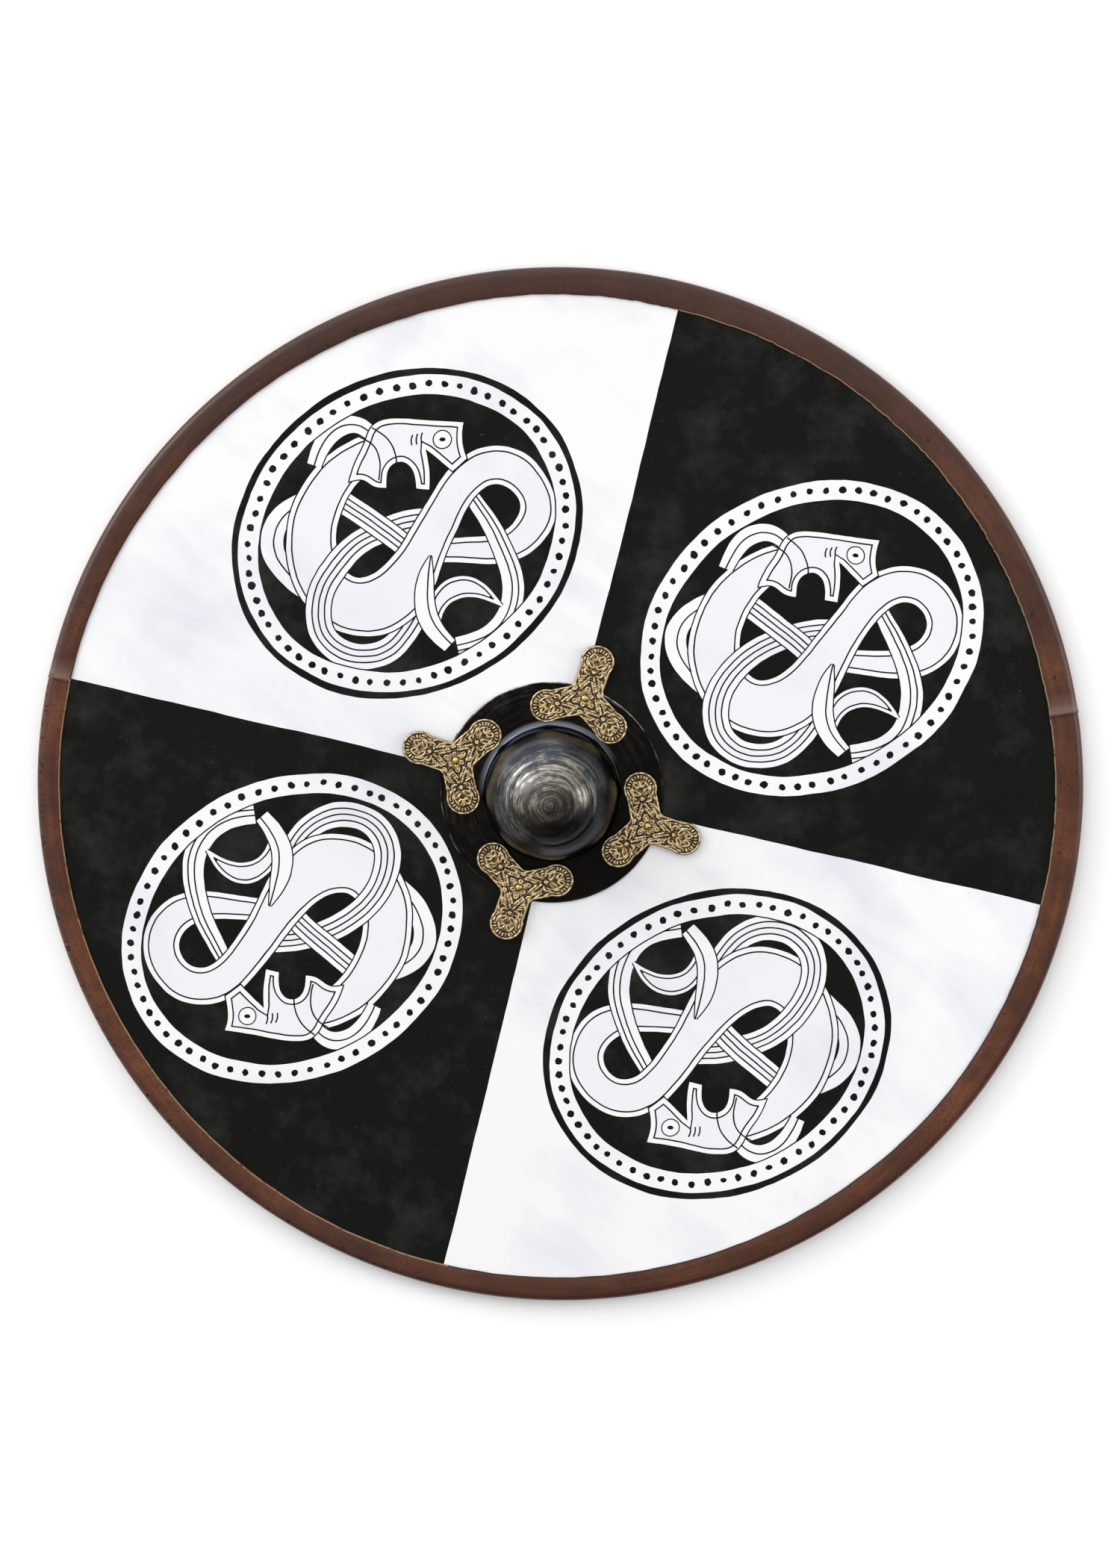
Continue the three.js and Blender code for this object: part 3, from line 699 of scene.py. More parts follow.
class Drawing:
    """Closed outlines in millimetres, each with its paint. A later one covers the earlier ones."""

    def __init__(self):
        self.layers = []
        self.line = settings("paint").line_width / MM
        self.inset = settings("paint").line_inset / MM

    def fill(self, outline, paint):
        self.layers.append((anticlockwise(np.asarray(outline)), paint))

    def body(self, rows, line_inset=None):
        """A broad ribbon: white, with a thin black line inside its edges and a tinted middle."""
        line_inset = line_inset or self.inset
        width = rows[:, 2]
        steps = ((-EDGE_WIDTH, BLACK), (0, WHITE), (line_inset, BLACK), (line_inset + self.line, TINT))
        for number, (step, paint) in enumerate(steps):
            shown = width - step > LEAST_WIDTH
            part = reaching(rows[shown], number)
            self.fill(strip(part, width[shown] - step, width[shown] - step), paint)

    def band(self, rows, lines, tinted=False):
        """A narrow ribbon with thin black lines along it, at shares of its half width."""
        width = rows[:, 2]
        self.fill(strip(rows, width + EDGE_WIDTH, width + EDGE_WIDTH), BLACK)
        self.fill(strip(reaching(rows, 1), width, width), WHITE)
        if tinted:
            self.fill(strip(reaching(rows, 2), width * max(lines), -width * min(lines)), TINT)
        half = self.line / 2
        for share in lines:
            self.fill(strip(reaching(rows, 3), width * share + half, half - width * share), BLACK)

    def stroke(self, points):
        rows = curve(points)
        half = np.full(len(rows), self.line / 2)
        self.fill(strip(rows, half, half), BLACK)

    def panel(self, outline):
        """A closed white shape with a thin line inside its edge."""
        steps = ((-EDGE_WIDTH, BLACK), (0, WHITE), (self.inset, BLACK), (self.inset + self.line, TINT))
        for step, paint in steps:
            self.fill(inset(outline, step) if step else outline, paint)

    def disc(self, x, y, radius, paint, flat=1.0):
        self.fill(ellipse(radius, radius * flat, 0, step=0.9) + (x, y), paint)

    def take(self, other, change):
        """Add another drawing's outlines, each moved by a function of its points."""
        for outline, paint in other.layers:
            self.fill(change(outline), paint)


def nearest(rows, x, y):
    return int(np.argmin(np.hypot(rows[:, 0] - x, rows[:, 1] - y)))


def ribbon_beast():
    """A beast in the old northern ribbon style: a long body in a coil and a loop, with a ring through it."""
    beast = Drawing()
    # x, y and half width, from the nape round the shoulder, through the middle and round the right loop
    body = curve(
        [
            (-10, 80, 12), (-30, 74, 14), (-54, 60, 17), (-72, 38, 19.5), (-84, 8, 21.5), (-84, -24, 22),
            (-72, -50, 22.5), (-48, -66, 25), (-18, -62, 27.5), (2, -40, 23.5), (16, -12, 18.5),
            (29, 14, 16.4), (44, 42, 16.2), (66, 62, 16.6), (94, 60, 16.2), (114, 38, 15.8),
            (115, 12, 15.4), (98, -8, 14.8), (76, -14, 12.5), (54, -14, 11), (30, -14, 10),
        ]
    )
    hip = nearest(body, -40, -66)
    loop = nearest(body, 112, 24)
    ring = curve(
        [
            (30, 14, 10), (10, 12, 10), (-16, 6, 10), (-44, -8, 10), (-66, -30, 10.5), (-80, -60, 11),
            (-76, -92, 11), (-50, -110, 11), (-20, -106, 10.8), (0, -88, 10), (12, -62, 9),
        ]
    )
    ring_cut = nearest(ring, -49, -14)
    ear = curve(
        [(-86, -52, 7), (-104, -38, 8.5), (-119, -16, 9.5), (-117, 8, 9.5), (-100, 24, 8.5), (-84, 32, 7)]
    )
    cross = curve([(-64, 33, 9.6), (-44, 20, 9.6), (-22, 5, 9.4), (-4, -8, 9.2), (10, -22, 9)])
    limb = curve(
        [
            (54, 38, 6), (63, 24, 7), (76, 4, 8), (88, -20, 8.8), (94, -46, 9.4), (88, -74, 9.2),
            (70, -92, 8.8), (44, -98, 8.4),
        ]
    )
    heel = curve([(21, -18, 0.5), (18, -30, 5), (14.5, -46, 8), (15, -66, 9), (23, -84, 8.5), (37, -97, 6.5)])
    claw = curve([(24, -84, 4), (24, -66, 6.5), (32, -50, 9), (50, -43, 10), (68, -50, 6), (82, -62, 0.6)])
    lappet = curve(
        [(-22, 72, 5), (-30, 88, 6), (-44, 97, 7.5), (-62, 93, 8.5), (-74, 78, 7.5), (-80, 60, 6)]
    )
    # what passes under comes first
    beast.band(ear, (-0.15,))
    beast.band(ring[: ring_cut + 3], (-0.5, 0.0, 0.5), tinted=True)
    beast.band(cross, (-0.5, 0.0, 0.5), tinted=True)
    beast.body(body[: hip + 4])
    beast.band(ring[ring_cut:], (-0.5, 0.0, 0.5), tinted=True)
    beast.body(body[loop - 3 :])
    beast.band(limb, (-0.1, 0.5))
    beast.body(body[hip:loop])
    beast.body(claw, line_inset=2.6)
    beast.band(heel, (0.3,))
    beast.band(lappet, (0.0,))
    beast_head(beast)
    return beast


def beast_head(beast):
    """The head, with its snout on the right, an open mouth below and a round eye."""
    sides = [
        [(-34, 86), (-28, 98), (-6, 101), (24, 98), (50, 97)],
        [(50, 97), (47, 82), (52, 66)],
        [(52, 66), (40, 55)],
        [(40, 55), (28, 65), (17, 74)],
        [(17, 74), (20, 56), (19, 39)],
        [(19, 39), (8, 40)],
        [(8, 40), (7, 56), (-4, 66), (-18, 58), (-17, 40)],
        [(-17, 40), (-28, 40), (-38, 50), (-50, 46)],
        [(-50, 46), (-46, 62), (-38, 74), (-34, 86)],
    ]
    beast.panel(np.vstack([curve(side)[:-1] for side in sides]))
    eye_x, eye_y = 31, 82
    beast.disc(eye_x, eye_y, 8.4, BLACK)
    beast.disc(eye_x, eye_y, 7.3, WHITE)
    beast.disc(eye_x, eye_y, 2.8, BLACK, flat=0.65)
    for k in range(3):
        x = 14 - 4.2 * k
        beast.stroke([(x, 88 - k), (x - 1.6, 84 - k), (x - 0.6, 79 - k)])
    beast.stroke([(-30, 92), (-16, 84), (-8, 68), (-9, 54)])
    beast.stroke([(-41, 84), (-27, 78), (-22, 62), (-24, 47)])


# Each oval: distance and direction from the board's middle, half width, half height and lean of its white
# edge, whether it is on white, and its beast's turn, width and height
MEDALLIONS = [
    (258.2, 120.3, 150.3, 129.2, 34.0, True, 0, 0.98, 0.985),
    (253.5, 31.8, 152.0, 130.1, 31.2, False, -5, 0.985, 0.95),
    (260.5, 207.5, 153.1, 130.1, 30.4, False, 173.6, 0.98, 0.98),
    (259.2, 301.7, 148.7, 127.2, 26.3, True, 173.2, 0.98, 0.985),
]
BEAST_SINK = (0.0, -3.0, 0.0, 2.0)  # how far each beast is off its oval's middle, upwards
HAND_SEED = 4  # without one, the clock would change how the painter's hand strays


def strayed(outline, seed, amount, wave=34.0):
    """An outline as an unsteady hand paints it: every point strays smoothly with its place."""
    moved = outline.copy()
    for size, reach in ((wave, amount), (wave / 4, amount / 4)):
        drift = [noise.noise_vector(Vector((x / size, y / size, seed)))[:2] for x, y in outline]
        moved += reach * np.array(drift)
    return moved


def medallion(drawing, number, seed_step=7.3):
    """One oval with its dotted band and beast."""
    away, direction, a, b, lean, on_white, beast_turn, wide, high = MEDALLIONS[number]
    paint = settings("paint")
    band = paint.band_width / MM
    middle = polar(away, direction)
    seed = seed_step * (number + 1)
    wobble = paint.hand_wobble / MM

    def settle(outline):
        return strayed(outline, seed, wobble) + middle

    def settle_apart(outline):
        return strayed(outline, seed + 40, wobble) + middle

    outer = ellipse(a, b, lean)
    if on_white:
        ring = paint.ring_width / MM
        drawing.fill(settle_apart(ellipse(a + ring, b + ring, lean)), BLACK)
    drawing.fill(settle(outer), BLACK)
    drawing.take(
        ribbon_beast(),
        lambda outline: settle_apart(turned(outline * (wide, high), beast_turn) + (0, BEAST_SINK[number])),
    )
    for edge, paint_used in ((EDGE_WIDTH, BLACK), (0, WHITE)):
        for half in ring_halves(outer, ellipse(a - band - edge, b - band - edge, lean)):
            drawing.fill(settle(half), paint_used)
    chance = random.Random(number + 11)
    for dot in ellipse(a - band / 2, b - band / 2, lean, step=paint.dot_pitch / MM):
        radius = paint.dot_radius / MM * chance.uniform(0.9, 1.13)
        blob = ellipse(radius, radius * chance.uniform(0.84, 1.0), chance.uniform(0, 180), step=1.5)
        ragged = blob * np.array([[chance.uniform(0.9, 1.12)] for _ in blob])
        stray = np.array([chance.uniform(-1, 1), chance.uniform(-1, 1)])
        drawing.fill(settle(ragged + dot + stray), BLACK)


def painted_face(edge, hole):
    """The whole face as a drawing, inside the board's edge and around its hole."""
    noise.seed_set(HAND_SEED)
    paint = settings("paint")
    drawing = Drawing()
    drawing.fill(edge, WHITE)
    drawing.fill(hole, NOTHING)
    inner, outer = 66, BOARD_R / MM - 6  # the paint's ends are hidden by the boss and the leather
    for half_turn in (0, 180):
        start = math.degrees(paint.cross_turn) + half_turn
        angles = np.linspace(start, start + QUARTER_SWEEP, 60)
        rising = np.linspace(inner, outer, 160)[:, None]
        first = rising * polar(1, start)
        last = rising[::-1] * polar(1, start + QUARTER_SWEEP)
        arc = np.array([polar(outer, angle) for angle in angles[1:-1]])
        back = np.array([polar(inner, angle) for angle in angles[-2:0:-1]])
        drawing.fill(strayed(np.vstack([first, arc, last, back]), start, 1.2, wave=60), BLACK)
    for number in range(len(MEDALLIONS)):
        medallion(drawing, number)
    return drawing


def mesh_of_drawing(name, drawing, height):
    """A flat mesh in which every triangle has the paint of the topmost outline that covers it."""
    points = np.vstack([outline for outline, _ in drawing.layers])
    faces = []
    start = 0
    for outline, _ in drawing.layers:
        faces.append(list(range(start, start + len(outline))))
        start += len(outline)
    inside_only = 1
    flat_points = [Vector(point) for point in points]
    corners, _, triangles, _, _, covers = delaunay_2d_cdt(flat_points, [], faces, inside_only, MERGE)
    kept = []
    paints_used = []
    for triangle, cover in zip(triangles, covers):
        paint = drawing.layers[max(cover)][1] if cover else NOTHING
        if paint != NOTHING:
            kept.append(triangle)
            paints_used.append(paint)
    obj = new_mesh(name, [(x * MM, y * MM, height) for x, y in corners], faces=kept)
    obj.data.polygons.foreach_set("material_index", paints_used)
    return obj


def rim_loops(obj, height):
    """The outer edge and the hole's edge of an open-topped body, as millimetre outlines."""
    top = np.array([v.co[:] for v in obj.data.vertices if abs(v.co.z - height) < 0.01 * MM])[:, :2]
    from_boss = np.hypot(top[:, 0] - BOSS_X, top[:, 1])
    outer = top[from_boss > FLANGE_R]
    inner = top[from_boss <= FLANGE_R]
    order = np.argsort(np.arctan2(outer[:, 1], outer[:, 0]))
    hole_order = np.argsort(np.arctan2(inner[:, 1], inner[:, 0] - BOSS_X))
    return outer[order] / MM, inner[hole_order] / MM


class ShieldPiece:
    """What the operators share"""

    bl_options = {"REGISTER", "UNDO"}


class SHIELD_OT_board(ShieldPiece, bpy.types.Operator):
    """Make the wooden board with its painted face"""

    bl_idname = "shield.board"
    bl_label = "Painted Board"

    def execute(self, context):
        thick = BOARD_HIGH[2] - BOARD_LOW[2]
        middle = (BOARD_LOW[2] + BOARD_HIGH[2]) / 2
        bpy.ops.object.select_all(action="DESELECT")
        bpy.ops.mesh.primitive_cylinder_add(
            vertices=192, radius=BOARD_R, depth=thick, location=(0, 0, middle)
        )
        board = context.object
        bpy.ops.object.transform_apply()
        hole_radius = settings("boss").dome_radius - 0.2 * MM
        bpy.ops.mesh.primitive_cylinder_add(
            vertices=96, radius=hole_radius, depth=thick * 2, location=(BOSS_X, 0, middle)
        )
        cut(board, context.object)
        cut(board, grip_pocket())
        mesh = board.data
        top = [p.index for p in mesh.polygons if p.normal.z > 0.9 and p.center.z > BOARD_HIGH[2] - MM]
        in_edit_mode(board, lambda: bpy.ops.mesh.select_all(action="DESELECT"))
        for index in top:
            mesh.polygons[index].select = True
        bpy.ops.object.mode_set(mode="EDIT")
        bpy.ops.mesh.select_mode(type="FACE")
        bpy.ops.mesh.delete(type="ONLY_FACE")
        bpy.ops.object.mode_set(mode="OBJECT")
        in_edit_mode(
            board,
            lambda: bpy.ops.mesh.delete_loose(use_verts=False, use_edges=True, use_faces=False),
        )
        edge, hole = rim_loops(board, BOARD_HIGH[2])
        face = mesh_of_drawing("painted_face", painted_face(edge, hole), BOARD_HIGH[2])
        for finish in paints():
            face.data.materials.append(finish)
        mesh.materials.append(planed_wood("planed_lime_planks", settings("wood").plank))
        whole = join([face, board])
        in_edit_mode(whole, lambda: bpy.ops.mesh.remove_doubles(threshold=JOIN))
        place(whole, "painted_board", ["board"])
        return {"FINISHED"}


def grip_pocket():
    """A body with round ends that cuts the pockets for the grip's ends into the board's back."""
    gap = 0.3 * MM
    width = (GRIP_HIGH[0] - GRIP_LOW[0]) / 2
    reach = (GRIP_HIGH[1] - GRIP_LOW[1]) / 2
    top = GRIP_LOW[2] + 7.4 * MM + gap
    low = BOARD_LOW[2] - MM
    bpy.ops.object.select_all(action="DESELECT")
    bpy.ops.mesh.primitive_cylinder_add(
        vertices=32, radius=width + gap, depth=top - low, location=(BOSS_X, 0, (top + low) / 2)
    )
    pocket = bpy.context.object
    bpy.ops.object.transform_apply()
    for vertex in pocket.data.vertices:
        vertex.co.y += math.copysign(reach - width, vertex.co.y)
    return pocket


class SHIELD_OT_rim(ShieldPiece, bpy.types.Operator):
    """Make the two strips of leather folded over the board's edge"""

    bl_idname = "shield.rim"
    bl_label = "Leather Band"

    def execute(self, context):
        finishes = [smooth_leather(), raw_leather()]
        first, second = SEAMS
        # the lower strip's ends dip by about half of what the upper strip's ends rise
        for name, start, end, lap in (("upper", first, second, 1), ("lower", second, first + 360, -0.55)):
            strip_object = leather_strip(start, end, lap)
            place(strip_object, f"leather_{name}", [f"rim_strip_{name}"], finishes)
            smooth(strip_object, 40)
        return {"FINISHED"}


def band_width(angle):
    """Width of the leather on the painted face at an angle in degrees."""
    leather = settings("leather")
    swell = leather.front_swell * math.cos(math.radians(angle) - leather.wide_side)
    x, y = polar(1, angle)
    # slow and quick waves all round, and a fray on the upper right
    slow = noise.noise(Vector((x * 2.2, y * 2.2, 3.1))) * 1.4 * MM
    quick = noise.noise(Vector((x * 30, y * 30, 8.4))) * 0.5 * MM
    ragged = max(0.0, math.cos(math.radians(angle - 40))) ** 2
    fray = noise.noise(Vector((x * 150, y * 150, 1.7))) * 0.9 * MM * ragged
    return leather.front_width + swell + slow + quick + fray


def leather_section(angle, lap):
    """The folded leather cut across, as (radius, height) points. Its last two edges are cut on the face."""
    leather = settings("leather")
    top = RIM_TOP
    thick = leather.thickness
    fold = leather.fold_radius
    lift = leather.lap_lift * lap
    x, y = polar(1, angle)
    puff = noise.noise(Vector((x * 9, y * 9, 5.5))) * 0.35 * MM
    front = SHIELD_R - band_width(angle)
    back = SHIELD_R - 22 * MM
    crown = SHIELD_R - 0.15 * MM + lift * 0.5
    section = [(front + MM, top - 0.9 * MM + lift), (front + 2.6 * MM, top - 0.45 * MM + lift)]
    section.append(((front + SHIELD_R - fold) / 2, top + lift + puff * 0.5))
    for k in range(7):
        around = math.radians(90 - 15 * k)
        section.append((crown - fold + fold * math.cos(around), top - fold + fold * math.sin(around) + lift))
    for k in range(7):
        around = math.radians(-15 * k)
        section.append((crown - fold + fold * math.cos(around), fold + fold * math.sin(around)))
    section += [(back, 0), (back, thick), (SHIELD_R - thick, thick), (SHIELD_R - thick, top - thick)]
    section += [(front, top - thick), (front + 0.1 * MM, top - thick * 0.45 + lift * 0.5)]
    return section


def leather_strip(start, end, lap, lap_length=1.1):
    """A strip between two seams. Near its ends it lifts, or dips under the other strip."""
    gap = math.degrees(0.25 * MM / SHIELD_R)
    count = int((end - start) / 0.6)
    sections = []
    for i in range(count + 1):
        angle = start + gap + (end - start - 2 * gap) * i / count
        from_end = min(angle - start, end - angle)
        near = max(0.0, 1 - from_end / lap_length)
        section = leather_section(angle, lap * near**2 * (3 - 2 * near))
        sections.append([(*(polar(r, angle)), z) for r, z in section])
    size = len(sections[0])
    vertices = [point for section in sections for point in section]
    faces = []
    for i in range(count):
        for j in range(size):
            a, b = i * size + j, i * size + (j + 1) % size
            faces.append((a, b, b + size, a + size))
    faces += [tuple(range(size)), tuple(range(count * size, (count + 1) * size))[::-1]]
    obj = new_mesh("leather", vertices, faces=faces)
    for index, polygon in enumerate(obj.data.polygons):
        if index < count * size and index % size >= size - 2:
            polygon.material_index = 1
    in_edit_mode(obj, lambda: bpy.ops.mesh.normals_make_consistent(inside=False))
    return obj


# Radius and depth of the grooves that spinning left in the dome, millimetres
DOME_GROOVES = [(9.5, 0.3), (17, 0.25), (36.5, 0.9), (46.5, 0.35)]
GROOVE_WIDTH = 1.7


class SHIELD_OT_boss(ShieldPiece, bpy.types.Operator):
    """Make the domed steel boss with its flange"""

    bl_idname = "shield.boss"
    bl_label = "Boss"

    def execute(self, context):
        boss = settings("boss")
        flange_back = BOSS_LOW[2]
        flange_front = flange_back + boss.steel
        foot = flange_front + boss.fillet
        rise = BOSS_HIGH[2] - foot
        outside = dome_curve(boss.dome_radius, foot, rise, 72, grooved=True)
        fillet = fillet_curve(foot, boss.fillet)
        edge_soft = 0.5 * MM
        flange = [
            (FLANGE_R * 0.8, flange_front),
            (FLANGE_R - edge_soft, flange_front),
            (FLANGE_R, flange_front - edge_soft),
            (FLANGE_R, flange_back),
        ]
        inner_fillet = fillet_curve(foot, boss.fillet + boss.steel)[::-1]
        inside = dome_curve(boss.dome_radius - boss.steel, foot, rise - boss.steel, 36)[::-1]
        profile = outside + fillet[1:] + flange + inner_fillet + inside[1:]
        obj = spun("boss", profile, boss.sides, (BOSS_X, 0, 0))
        smooth(obj, 30)
        place(obj, "steel_boss", ["boss"], [blackened_steel()])
        return {"FINISHED"}


def dome_curve(radius, foot, rise, steps, grooved=False):
    """A pointed dome's (radius, height) points, from the top down."""
    point = settings("boss").point
    points = []
    for i in range(steps + 1):
        around = math.pi / 2 * i / steps
        r = radius * math.sin(around)
        z = foot + rise * ((1 - point) * math.cos(around) + point * (1 - math.sin(around)))
        if grooved:
            for groove, depth in DOME_GROOVES:
                z -= depth * MM * math.exp(-(((r / MM - groove) / GROOVE_WIDTH) ** 2))
        points.append((r, z))
    return points


def fillet_curve(foot, radius):
    boss = settings("boss")
    middle = boss.dome_radius + boss.fillet
    turns = [math.radians(180 + 15 * k) for k in range(7)]
    return [(middle + radius * math.cos(a), foot + radius * math.sin(a)) for a in turns]


def node_middle(name):
    low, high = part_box(name)
    return (low[0] + high[0]) / 2, (low[1] + high[1]) / 2


class SHIELD_OT_mounts(ShieldPiece, bpy.types.Operator):
    """Make the four cast brass mounts"""

    bl_idname = "shield.mounts"
    bl_label = "Brass Mounts"

    def execute(self, context):
        finish = cast_brass()
        pattern = cast_mount()
        for name, nail in zip(MOUNTS, MOUNT_NAILS):
            x, y = node_middle(nail)
            copy = bpy.data.objects.new(name, pattern.data.copy())
            context.scene.collection.objects.link(copy)
            direction = math.atan2(y, x - BOSS_X)
            copy.data.transform(Matrix.Translation((x, y, 0)) @ Matrix.Rotation(direction, 4, "Z"))
            place(copy, f"brass_{name}", [name], [finish])
        bpy.data.objects.remove(pattern)
        return {"FINISHED"}


ARMS = (0, 120, 240)


def trefoil(gap, steps=8):
    """A mount's outline in millimetres, moved inwards by a gap."""
    mounts = settings("mounts")
    half = mounts.arm_width / MM / 2 - gap
    lobe = mounts.lobe_radius / MM - gap
    armpit = mounts.armpit_radius / MM + gap
    out = (mounts.arm_reach - mounts.lobe_radius) / MM
    away = (half + armpit) / math.sin(math.radians(60))
    swing = 180 - math.degrees(math.asin(half / lobe))
    points = []
    for arm in ARMS:
        for k in range(steps + 1):
            points.append(polar(away, arm - 60) + polar(armpit, arm + 150 - 60 * k / steps))
        for k in range(3 * steps + 1):
            points.append(polar(out, arm) + polar(lobe, arm - swing + 2 * swing * k / (3 * steps)))
    return np.array(points)


def even(outline, step):
    """A closed outline with its points an even step apart."""
    closed = np.vstack([outline, outline[:1]])
    along = np.concatenate([[0], np.cumsum(np.linalg.norm(np.diff(closed, axis=0), axis=1))])
    places = np.linspace(0, along[-1], round(along[-1] / step) + 1)[:-1]
    return np.stack([np.interp(places, along, closed[:, i]) for i in (0, 1)], 1)


def twisted_border(crossings=33, depth=2.3, reach=1.25, tips_from=24.0):
    """Two strands that cross each other along the arms' sides, as (x, y, lift) points. The tips have none."""
    middle = even(trefoil(depth), 0.55)
    ahead = np.roll(middle, -2, 0) - np.roll(middle, 2, 0)
    ahead /= np.linalg.norm(ahead, axis=1)[:, None]
    outward = np.stack([ahead[:, 1], -ahead[:, 0]], 1)
    phase = np.arange(len(middle)) / len(middle) * math.pi * crossings
    along = np.max([middle @ polar(1, arm) for arm in ARMS], axis=0)
    first_tip = int(np.argmax(along > tips_from))
    sides = np.roll(along < tips_from, -first_tip)
    cuts = np.nonzero(np.diff(sides.astype(int)))[0] + 1
    for start in (0, math.pi):
        moved = middle + outward * (reach * np.cos(phase + start))[:, None]
        strand = np.roll(np.column_stack([moved, 0.32 * np.sin(phase + start)]), -first_tip, axis=0)
        parts = zip(np.split(strand, cuts), np.split(sides, cuts))
        yield from (part for part, on_side in parts if on_side[0])


def lens(x, y, long, wide, lean):
    """A pointed oval ring."""
    turns = np.linspace(0, math.tau, 17)
    ring = np.stack([long * np.cos(turns), wide * np.sin(turns) * np.abs(np.sin(turns)) ** 0.3], 1)
    return turned(ring, lean) + (x, y)


def arm_strands():
    """Strands of one arm that lies along +X, in millimetres."""
    mounts = settings("mounts")
    lobe = mounts.lobe_radius / MM
    out = (mounts.arm_reach - mounts.lobe_radius) / MM
    strands = []
    for angle in range(-75, 76, 15):
        strands.append(np.array([polar(r, angle) for r in (lobe - 5.6, lobe - 2.6)]) + (out, 0))
    strands.append(np.array([(out + 0.6, 0), (out + 6.5, 0)]))
    for side in (1, -1):
        for radius, first, last in ((lobe - 3.0, 84, 136), (lobe - 5.5, 82, 130)):
            arc = np.array([polar(radius, side * a) for a in np.linspace(first, last, 14)]) + (out, 0)
            strands.append(np.vstack([arc, arc[-1:] + (-4.5, side * (-1.0 if radius > 10 else 1.2))]))
    strands.append(lens(24, 0, 1.1, 1.1, 0))
    for side in (1, -1):
        strands.append(lens(out + 3.5, side * 3.0, 2.9, 1.5, 35 * side))
        strands.append(lens(out - 3.4, side * 4.4, 3.9, 1.7, 52 * side))
        branch = [(out - 1.2, 7.6), (out + 2.2, 6.6), (out + 5.2, 5.2)]
        hook = [(21.2, 2.6), (20.4, 5.4), (22.2, 8.3), (25.0, 8.2), (25.6, 5.8), (23.8, 5.0)]
        for points in (branch, hook):
            strands.append(curve([(x, side * y) for x, y in points], 0.9))
        for k in range(3):
            x = 12.6 + 2.3 * k
            strands.append(np.array([(x, side * (9.6 - 0.1 * k)), (x + 1.9, side * (6.6 - 1.0 * k))]))
        outer = [(20.2, 0.9), (17, 2.9), (12.5, 5.3), (8.5, 7.6)]
        inner = [(15.6, 0.7), (12.5, 2.6), (9.0, 4.6), (6.5, 6.2)]
        for points in (outer, inner):
            strands.append(curve([(x, side * y) for x, y in points], 0.9))
        for k in range(5):
            x = 16.4 - 2.1 * k
            strands.append(np.array([(x, side * (1.7 + 1.2 * k)), (x + 0.8, side * (2.9 + 1.2 * k))]))
        leaf = [(4.0, 0.4), (5.6, 1.9), (8.0, 2.0), (10.6, 0.4)]
        strands.append(curve([(x, side * y) for x, y in leaf], 0.8))
    strands.append(np.array([(5.4, 0), (8.2, 0)]))
    return strands


def fillers(strands, room=1.45, step=0.7):
    """Strands that run along the middle of each gap that is left, alike on both sides of all three arms."""
    drawn = np.vstack([spread(points, 0.4) for points in strands])
    # a sixth of the mount is enough, from the first arm's middle line to the line at 60 degrees
    rows = [(x, y) for x in np.arange(0, 47, 0.6) for y in np.arange(0, 24, 0.6)]
    grid = np.array([(x, y) for x, y in rows if y < 1.73 * x + 0.1])
    open_at = np.array([np.hypot(*(drawn - place_at).T).min() for place_at in grid])
    open_at[outside(grid, even(trefoil(1.6), 0.6))] = 0
    found = []
    while open_at.max() > room:
        start = grid[open_at.argmax()]
        halves = []
        for sign in (1, -1):
            way, here, half = None, start, []
            for _ in range(12):
                ahead = [polar(step, a) for a in range(0, 360, 15)]
                ahead = [v for v in ahead if way is None or v @ way > 0.75 * step * step]
                free = [np.hypot(*(drawn - here - v).T).min() for v in ahead]
                if max(free) < room * 0.82:
                    break
                way = ahead[int(np.argmax(free))]
                if sign < 0 and not half and halves[0]:
                    way = start - halves[0][0]
                here = here + way
                half.append(here)
            halves.append(half)
        line = np.array(halves[1][::-1] + [start] + halves[0])
        if len(line) < 2:
            line = np.array([start - (0.3, 0), start + (0.3, 0)])
        copies = [turned(line * (1, flip), arm) for arm in ARMS for flip in (1, -1)]
        found += copies
        new = np.vstack([spread(copy, 0.4) for copy in copies])
        open_at = np.minimum(open_at, [np.hypot(*(new - place_at).T).min() for place_at in grid])
        drawn = np.vstack([drawn, new])
    return found


def spread(points, step):
    """An open line with its points an even step apart."""
    along = np.concatenate([[0], np.cumsum(np.linalg.norm(np.diff(points[:, :2], axis=0), axis=1))])
    places = np.linspace(0, along[-1], max(2, round(along[-1] / step)))
    return np.stack([np.interp(places, along, points[:, i]) for i in (0, 1)], 1)


def outside(points, outline):
    """Which points lie outside a closed outline."""
    ahead = np.roll(outline, -1, 0)
    crossings = np.zeros(len(points), int)
    for (x0, y0), (x1, y1) in zip(outline, ahead):
        if y0 != y1:
            level = (points[:, 1] - y0) / (y1 - y0)
            crossings += (level >= 0) & (level < 1) & (x0 + level * (x1 - x0) > points[:, 0])
    return crossings % 2 == 0


def armpit_strands():
    """The small leaf and curls that fill the side between two arms."""
    strands = [lens(5.3, 0, 1.9, 1.2, 0), lens(12.3, 0, 1.0, 2.1, 0)]
    for side in (1, -1):
        curl = [(12.4, 3.7), (13.4, 5.6), (12.2, 7.2), (11.0, 5.6)]
        strands.append(curve([(x, side * y) for x, y in curl], 0.8))
        strands.append(np.array([(8.4, side * 1.2), (9.2, side * 1.2)]))
    return strands


